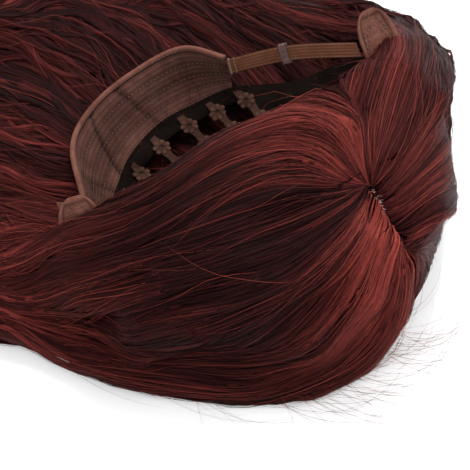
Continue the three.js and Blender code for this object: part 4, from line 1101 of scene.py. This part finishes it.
def lock_bodies(ways, ups, tones):
    """Flat tapering bodies of locks: points, quads, ends, tint, flow and over."""
    count = len(ways)
    sides, overs = frames_of(ways, ups)
    free = freedom(ways)
    t = np.linspace(0, 1, STEPS)
    profile = bulge(t, 0.9, 0.07, 0.55)
    narrow = 0.3 + 0.7 * smooth_step(parting_gaps(ways), 0.0, 0.035)
    half = rows_of(rng.uniform, *BODY_HALF_WIDTH, count) * profile * narrow
    lift = rows_of(rng.uniform, *BODY_LIFT, count) * profile * (0.6 + free)
    tilt = (rows_of(rng.uniform, -BODY_TILT, BODY_TILT, count) * (0.5 + free))[..., None]
    side, over = unit(sides - overs * tilt), unit(overs + sides * tilt)
    paths = above(BODY_FLOOR, ways + overs * lift[..., None])
    deep = (BODY_DEPTH + FREE_DEPTH * free) * profile
    points, *polys = tubes(paths, side, over, half, deep, BODY_SIDES)
    lengths = np.linalg.norm(np.diff(ways, axis=1), axis=2).sum(1)[:, None]
    full = rows_of(rng.uniform, *BODY_FLOW, count)[..., None]
    around = np.cos(ring_angles(BODY_SIDES)) * full * 2.6
    number = np.arange(count)[:, None, None] * 7.3
    flow = np.stack(np.broadcast_arrays(around, (t * lengths * 11)[..., None], number), -1)
    shades = tones[:, None] + 0.10 * np.sin(t * 9 + rows_of(rng.uniform, 0, 6.28, count))
    # Painted shade: each body is darker towards its thin ends, where it dips among the others.
    shades = tint_of(shades - 0.25 * (1 - profile))
    tint, over = (np.repeat(rows.reshape(-1, 3), BODY_SIDES, axis=0) for rows in (shades, over))
    values = {"tint": tint, "flow": flow.reshape(-1, 3), "over": over}
    return above(FACE_FLOOR, points), polys, values


def strands(ways, ups, tones, each):
    """Fine fibres over each lock, staggered along it and closing towards its ends."""
    count = len(ways)
    sides, overs = frames_of(ways, ups)
    pick = np.repeat(np.arange(count), each)
    total = len(pick)
    radius = rng.uniform(*FIBRE_SPREAD, count)[pick, None]
    across, height, phase, pace, start, stop = (rows_of(rng.uniform, *limits, total) for limits in (
        (-1, 1), FIBRE_HEIGHT, (0, 2 * np.pi), FIBRE_PACE, (0, 0.2), (0.8, 1.0)))
    t = np.linspace(0, 1, FIBRE_STEPS)
    at = start + (stop - start) * t
    index = np.clip(at * (STEPS - 1), 0, STEPS - 1.001)
    low = index.astype(int)
    part, rows = (index - low)[..., None], pick[:, None]

    def between(values):
        return values[rows, low] * (1 - part) + values[rows, low + 1] * part

    side, over = unit(between(sides)), unit(between(overs))
    spread = bulge(at, 0.9, 0.05, 0.6)
    narrow = 0.25 + 0.75 * smooth_step(between(parting_gaps(ways)[..., None])[..., 0], 0.0, 0.045)
    shift = (across * radius * spread + FIBRE_WANDER * np.sin(phase + at * pace)) * narrow
    rise = height * (0.25 + 0.75 * spread * narrow)
    paths = above(FIBRE_FLOOR, between(ways) + side * shift[..., None] + over * rise[..., None])
    thick = rows_of(rng.uniform, *FIBRE_HALF, total) * bulge(t, 0.94, 0.03, 0.45)
    points, *polys = tubes(paths, side, over, thick, thick, FIBRE_SIDES)
    tone = np.clip(tones[pick] + rng.normal(0.06, 0.16, total), 0, 1)
    return points, polys, np.repeat(tint_of(tone), FIBRE_STEPS * FIBRE_SIDES, axis=0)


LOOSE_STEPS = 11
LOOSE_SHARES = np.linspace(0, 1, LOOSE_STEPS)
FLYAWAY_FARTHEST = 0.0085  # metres off the hair
FLYAWAY_HIGH = 0.104  # metres; hairs that stand higher are pressed down


def flyaways(count):
    """Stray hairs that stand a little off the hair and cross it."""
    pick = rng.choice(len(ways), count)
    index = np.linspace(0, STEPS - 1.001, LOOSE_STEPS)
    low = index.astype(int)
    part = (index - low)[:, None]
    base = ways[pick][:, low] * (1 - part) + ways[pick][:, low + 1] * part
    side, over = (way[pick][:, low] for way in frames_of(ways, ups))
    t = LOOSE_SHARES
    off = rows_of(rng.gamma, 1.6, 0.0016, count).clip(0, FLYAWAY_FARTHEST)
    off = off * np.sin(np.pi * t * rows_of(rng.uniform, 0.5, 1, count))
    drift = rows_of(rng.normal, 0, 0.013, count) * t**1.5
    curl = rows_of(rng.uniform, 0, 0.004, count) * np.sin(t * rows_of(rng.uniform, 2, 8, count))
    paths = base + over * off[..., None] + side * (drift + curl)[..., None]
    paths[..., 2] -= 0.7 * np.maximum(paths[..., 2] - FLYAWAY_HIGH, 0)
    return above(FIBRE_FLOOR, paths)


TIP_FARTHEST = 0.296  # metres to either side that a tip may reach


def tip_hairs(each):
    """Hairs that run on past the ends of the free locks, closing to a point."""
    bundles = []
    t = LOOSE_SHARES
    for points, directions in guides[: len(lock_ways)]:
        end, way = points[-1], directions[-1]
        start = rng.integers(len(points) - 12, len(points) - 3, each)
        side = unit(np.cross(way, UP))
        room = (TIP_FARTHEST - abs(end[0])) / max(abs(way[0]), 1e-3)
        length = np.minimum(rows_of(rng.uniform, 0.006, 0.026, each), room)
        across = rows_of(rng.normal, 0, 0.0045, each)
        height, bend = rows_of(rng.uniform, 0.0005, 0.007, each), rows_of(rng.normal, 0, 0.005, each)
        stops = (points[start] + side * across, end + side * across * 0.7,
            end + way * length + side * (across * 0.4 + bend))
        shares = (1 - t) ** 2, 2 * t * (1 - t), t**2
        paths = sum(stop[:, None] * share[:, None] for stop, share in zip(stops, shares))
        paths[..., 2] = FIBRE_FLOOR + height * (1 - 0.8 * t**2)
        bundles.append(paths)
    return np.vstack(bundles)


RIM_CORNER = 4.6  # the station that parts the front hairs from the nape's shorter ones


def rim_hairs(count):
    """Short hairs that stand up over the front edge of the mouth, and lie over the net there."""
    station = np.where(rng.random(count) < 0.62, rng.uniform(-2.4, RIM_CORNER, count),
        rng.uniform(RIM_CORNER, 11, count))
    start = net_offset(station, 0.01, rng.uniform(1, 6, count))
    inward = unit(net_point(station, 0.1) - net_point(station, 0.0))
    across = unit(MOUTH_CENTRE - start)
    way = -inward * rng.uniform(0.4, 1.2, (count, 1)) + across * rng.uniform(0.1, 0.8, (count, 1))
    way = unit(way + rng.normal(0, 0.35, (count, 3)))[:, None]
    length = (rng.uniform(6, 28, count) * np.where(station > RIM_CORNER, 0.55, 1))[:, None, None]
    t = LOOSE_SHARES[:, None]
    droop = across[:, None] * t**2 * length * rng.uniform(0.1, 0.5, count)[:, None, None]
    paths = start[:, None] + way * t * length + droop
    paths[..., 2] = np.clip(paths[..., 2], 1, CAP_HEIGHT + 20)
    return to_row(paths)


def band_hairs(count):
    """Hairs that have fallen over the nape band."""
    start, drift = rows_of(rng.uniform, 0.1, 0.9, count), rows_of(rng.normal, 0, 0.1, count)
    t = LOOSE_SHARES
    share = -0.12 + 1.3 * t + 0 * start
    along = np.clip(start + drift * t + 0.02 * np.sin(t * 5 + start * 40), 0, 1)
    height = 1.8 + 1.6 * np.sin(np.pi * t) * rng.uniform(0, 1, (count, 1)) + 2.0 * (share > 1)
    return to_row(band_across(along, share) + band_normal(along, share) * height[..., None])


# The foot of the hair nearest the camera, left to right, where wisps lie on the table.
WISP_ROOTS = np.array([
    [0.0150, -0.1560, 0.010], [0.0791, -0.1680, 0.010], [0.1298, -0.1760, 0.010],
    [0.1677, -0.1700, 0.012], [0.2000, -0.1560, 0.012], [0.2300, -0.1300, 0.014],
])
WISP_DENSITY = np.array([0.5, 0.8, 1.2, 1.6, 1.5, 0.6])
WISP_LIMITS = np.array([0.300, -0.2085])  # the farthest right and the nearest that wisps reach


def wisps(count):
    """Long loose hairs that curve over the table in front of the wig."""
    stations = np.arange(len(WISP_ROOTS))
    share = np.linspace(0, stations[-1], 200)
    density = np.interp(share, stations, WISP_DENSITY)
    roots = read(rng.choice(share, count, p=density / density.sum()), stations, WISP_ROOTS)
    roots[:, :2] += rng.normal(0, 0.006, (count, 2))
    heading, bend = rows_of(rng.normal, -0.5, 0.25, count), rows_of(rng.normal, 0.7, 0.35, count)
    step = rows_of(rng.uniform, 0.05, 0.16, count) / (LOOSE_STEPS - 1)
    t = LOOSE_SHARES
    angle = heading + bend * 2 * t[:-1]
    moves = np.stack([np.cos(angle) * step, np.sin(angle) * step], -1).cumsum(1)
    moves = np.concatenate([np.zeros((count, 1, 2)), moves], 1)
    low = rows_of(rng.uniform, FIBRE_FLOOR, 0.004, count)
    height = roots[:, 2:] * (1 - t) ** 1.5 + low * t
    # those that would run too far are drawn in
    ends = np.stack([moves[..., 0].max(1), moves[..., 1].min(1)], 1)
    room = np.abs(WISP_LIMITS - roots[:, :2]) / np.maximum(np.abs(ends), 1e-9)
    shrink = np.minimum(1, room.min(1)) * rng.uniform(0.8, 1, count)
    return np.concatenate([roots[:, None, :2] + moves * shrink[:, None, None], height[..., None]], -1)


LOCKS, FIBRES = 4900, 2
LOOSE_HAIRS = {  # lay, count (for tips, of each free lock), range of tones, range of thickness
    "flyaway_hairs": (flyaways, 560, (0.4, 1.0), (0.00007, 0.00013)),
    "tip_hairs": (tip_hairs, 34, (0.1, 0.7), (0.00013, 0.00028)),
    "rim_hairs": (rim_hairs, 360, (0.2, 0.8), (0.00011, 0.00018)),
    "band_hairs": (band_hairs, 26, (0.0, 0.6), (0.00008, 0.00014)),
    "wisp_hairs": (wisps, 130, (0.4, 0.9), (0.00008, 0.00013)),
}
CORE_DEPTH = 0.0015  # how far the dark depth, painted as shade, lies under the form


def core_piece(name, points, triangles, replaced=None):
    """The depth of a mass of hair, a little inside it, painted dark as shade."""
    normals = np.zeros_like(points)
    a, b, c = (points[triangles[:, k]] for k in range(3))
    for k in range(3):
        np.add.at(normals, triangles[:, k], np.cross(b - a, c - a))
    places = above(CORE_FLOOR, points - unit(normals) * CORE_DEPTH)
    held(build_mesh(name, places, [triangles], [shade_core_look]), replaced)


def hair_piece(name, ways, ups, tones):
    """A hair node's depth, and its locks and fibres."""
    solid = hair_solids[name]
    core_piece(f"{name}_core", *(solid if name == "crown_hair" else remeshed([solid], CORE_VOXEL, 3)), name)
    bodies, (body_quads, body_ends), values = lock_bodies(ways, ups, tones)
    fibres, fibre_polys, fibre_tint = strands(ways, ups, tones, FIBRES)
    polys = [body_quads, *(poly + len(bodies) for poly in fibre_polys), body_ends]
    slots = np.repeat([0, 1, 1, 0], [len(poly) for poly in polys])
    made = build_mesh(f"{name}_locks", np.vstack([bodies, fibres]), polys, [lock_look, strand_look], slots)
    rest = {"tint": fibre_tint, "flow": 0 * fibres, "over": 0 * fibres}
    set_attributes(made, **{key: np.vstack([values[key], rest[key]]) for key in values})
    held(made)


def loose_piece(name, lay, count, tones, thickness):
    """Single loose hairs, thinner towards their tips."""
    paths = lay(count)
    tint = tint_of(rng.uniform(*tones, len(paths)))
    half = rows_of(rng.uniform, *thickness, len(paths)) * (1 - 0.7 * LOOSE_SHARES**3)
    points, *polys = threads(paths, UP, half, FIBRE_SIDES)
    made = build_mesh(name, points, polys, [strand_look])
    set_attributes(made, tint=np.repeat(tint, LOOSE_STEPS * FIBRE_SIDES, axis=0))
    held(made)


def scalp_piece(materials):
    """The scalp cloth under the whorl, that the first hairs are tied in."""
    points, triangles = solid_arrays("scalp_patch")
    made = build_mesh("scalp_patch_cloth", points, [triangles], materials)
    set_attributes(made, weave=points / MM, tint=np.ones_like(points))
    held(made, "scalp_patch")


def knots(materials, count=34):
    """Short pale threads across the first part of the parting."""
    at = np.sort(rng.random(count)) * 0.4
    dense, _ = spline(parting_line, 0.0005)
    places = dense[(at * (len(dense) - 1)).astype(int)]
    places = places + rng.normal(0, 0.0011, places.shape) * [1, 1, 0]
    places = np.array([on_form(p)[0] for p in places])
    t = np.linspace(-1, 1, 5)
    angle = rng.normal(0.1, 0.3, count)
    along = np.stack([np.cos(angle), np.sin(angle), 0 * angle], 1)
    reach = rng.uniform(0.0005, 0.0011, count)[:, None, None]
    paths = places[:, None] + along[:, None] * t[:, None] * reach + UP * 0.0006
    half = rows_of(rng.uniform, 0.0001, 0.00017, count) * np.sqrt(1.05 - t**2)
    points, *polys = threads(paths, UP, half, 6)
    held(build_mesh("parting_knots", points, polys, materials))


add_camera()
add_stage()

# Painted shade: a near-black, dull material for the depth under the locks.
shade_core_look = shade_core_material("hair_core")
lock_look = lock_material("hair_locks")
strand_look = strand_material("hair_strands")

ways, ups, owners = grow_locks(LOCKS)
middle = STEPS // 2
streams = np.array([stream_at(w, n) for w, n in zip(ways[:, middle], ups[:, middle])])
tones = 0.6 * streams**1.5 + rng.normal(0.05, 0.07, len(ways)) + tone_and_painted_light(ways[:, middle])
tones = np.clip(tones, 0, 1)
ways = waved(ways, ups)
for name in HAIR_NODES:
    chosen = owners == name
    hair_piece(name, ways[chosen], ups[chosen], tones[chosen])
for name, arrays in masses.items():
    # The masses under the hair, in the same painted-shade dark as the cores.
    core_piece(name, *arrays)
for name, row in LOOSE_HAIRS.items():
    loose_piece(name, *row)

thread = thread_material("thread", (0.20, 0.125, 0.095))
pale_thread = thread_material("pale_thread", (0.27, 0.18, 0.13))
dark_thread = thread_material("dark_thread", (0.02, 0.013, 0.012))
band_cloth = cloth_material(
    "band_cloth", (0.095, 0.038, 0.030), (0.20, 0.092, 0.070), 0.55, (0.6, 0.85), 0.05, 0.0005)
tab_cloth = cloth_material("tab_cloth", (0.15, 0.054, 0.038), (0.28, 0.118, 0.088), 0.5, (0.7, 0.7), 0.05)
elastic = cloth_material("elastic", (0.145, 0.053, 0.028), (0.235, 0.092, 0.050), 0.5, (0.8, 0.2), 0.05)
keeper_cloth = cloth_material("keeper_cloth", (0.14, 0.075, 0.075), (0.22, 0.13, 0.13), 0.5, (0.5, 0.8))
net_cloth = cloth_material(
    "net_cloth", (0.005, 0.0035, 0.003), (0.014, 0.0095, 0.008), 1.3, (0.9, 0.9), 0.0)
lace_cloth = cloth_material(
    "lace_cloth", (0.047, 0.021, 0.015), (0.120, 0.058, 0.042), 0.6, (0.7, 0.7), 0.03)
scalp_cloth = cloth_material("scalp_cloth", (0.30, 0.17, 0.13), (0.42, 0.25, 0.2), 0.5, (0.3, 0.3))
knot_skin = thread_material("knots", (0.42, 0.26, 0.21))

net_piece([net_cloth, dark_thread])
front_band_piece([band_cloth, thread])
nape_band_piece([band_cloth, thread])
binding_piece([tab_cloth, thread])
for number in range(1, 7):
    lace_piece(number, [lace_cloth])
for name in EAR_TABS:
    ear_tab_piece(name, [tab_cloth, thread])
for name in STRAPS:
    strap_piece(name, [elastic, pale_thread])
keeper_piece([keeper_cloth])
scalp_piece([scalp_cloth])
knots([knot_skin])
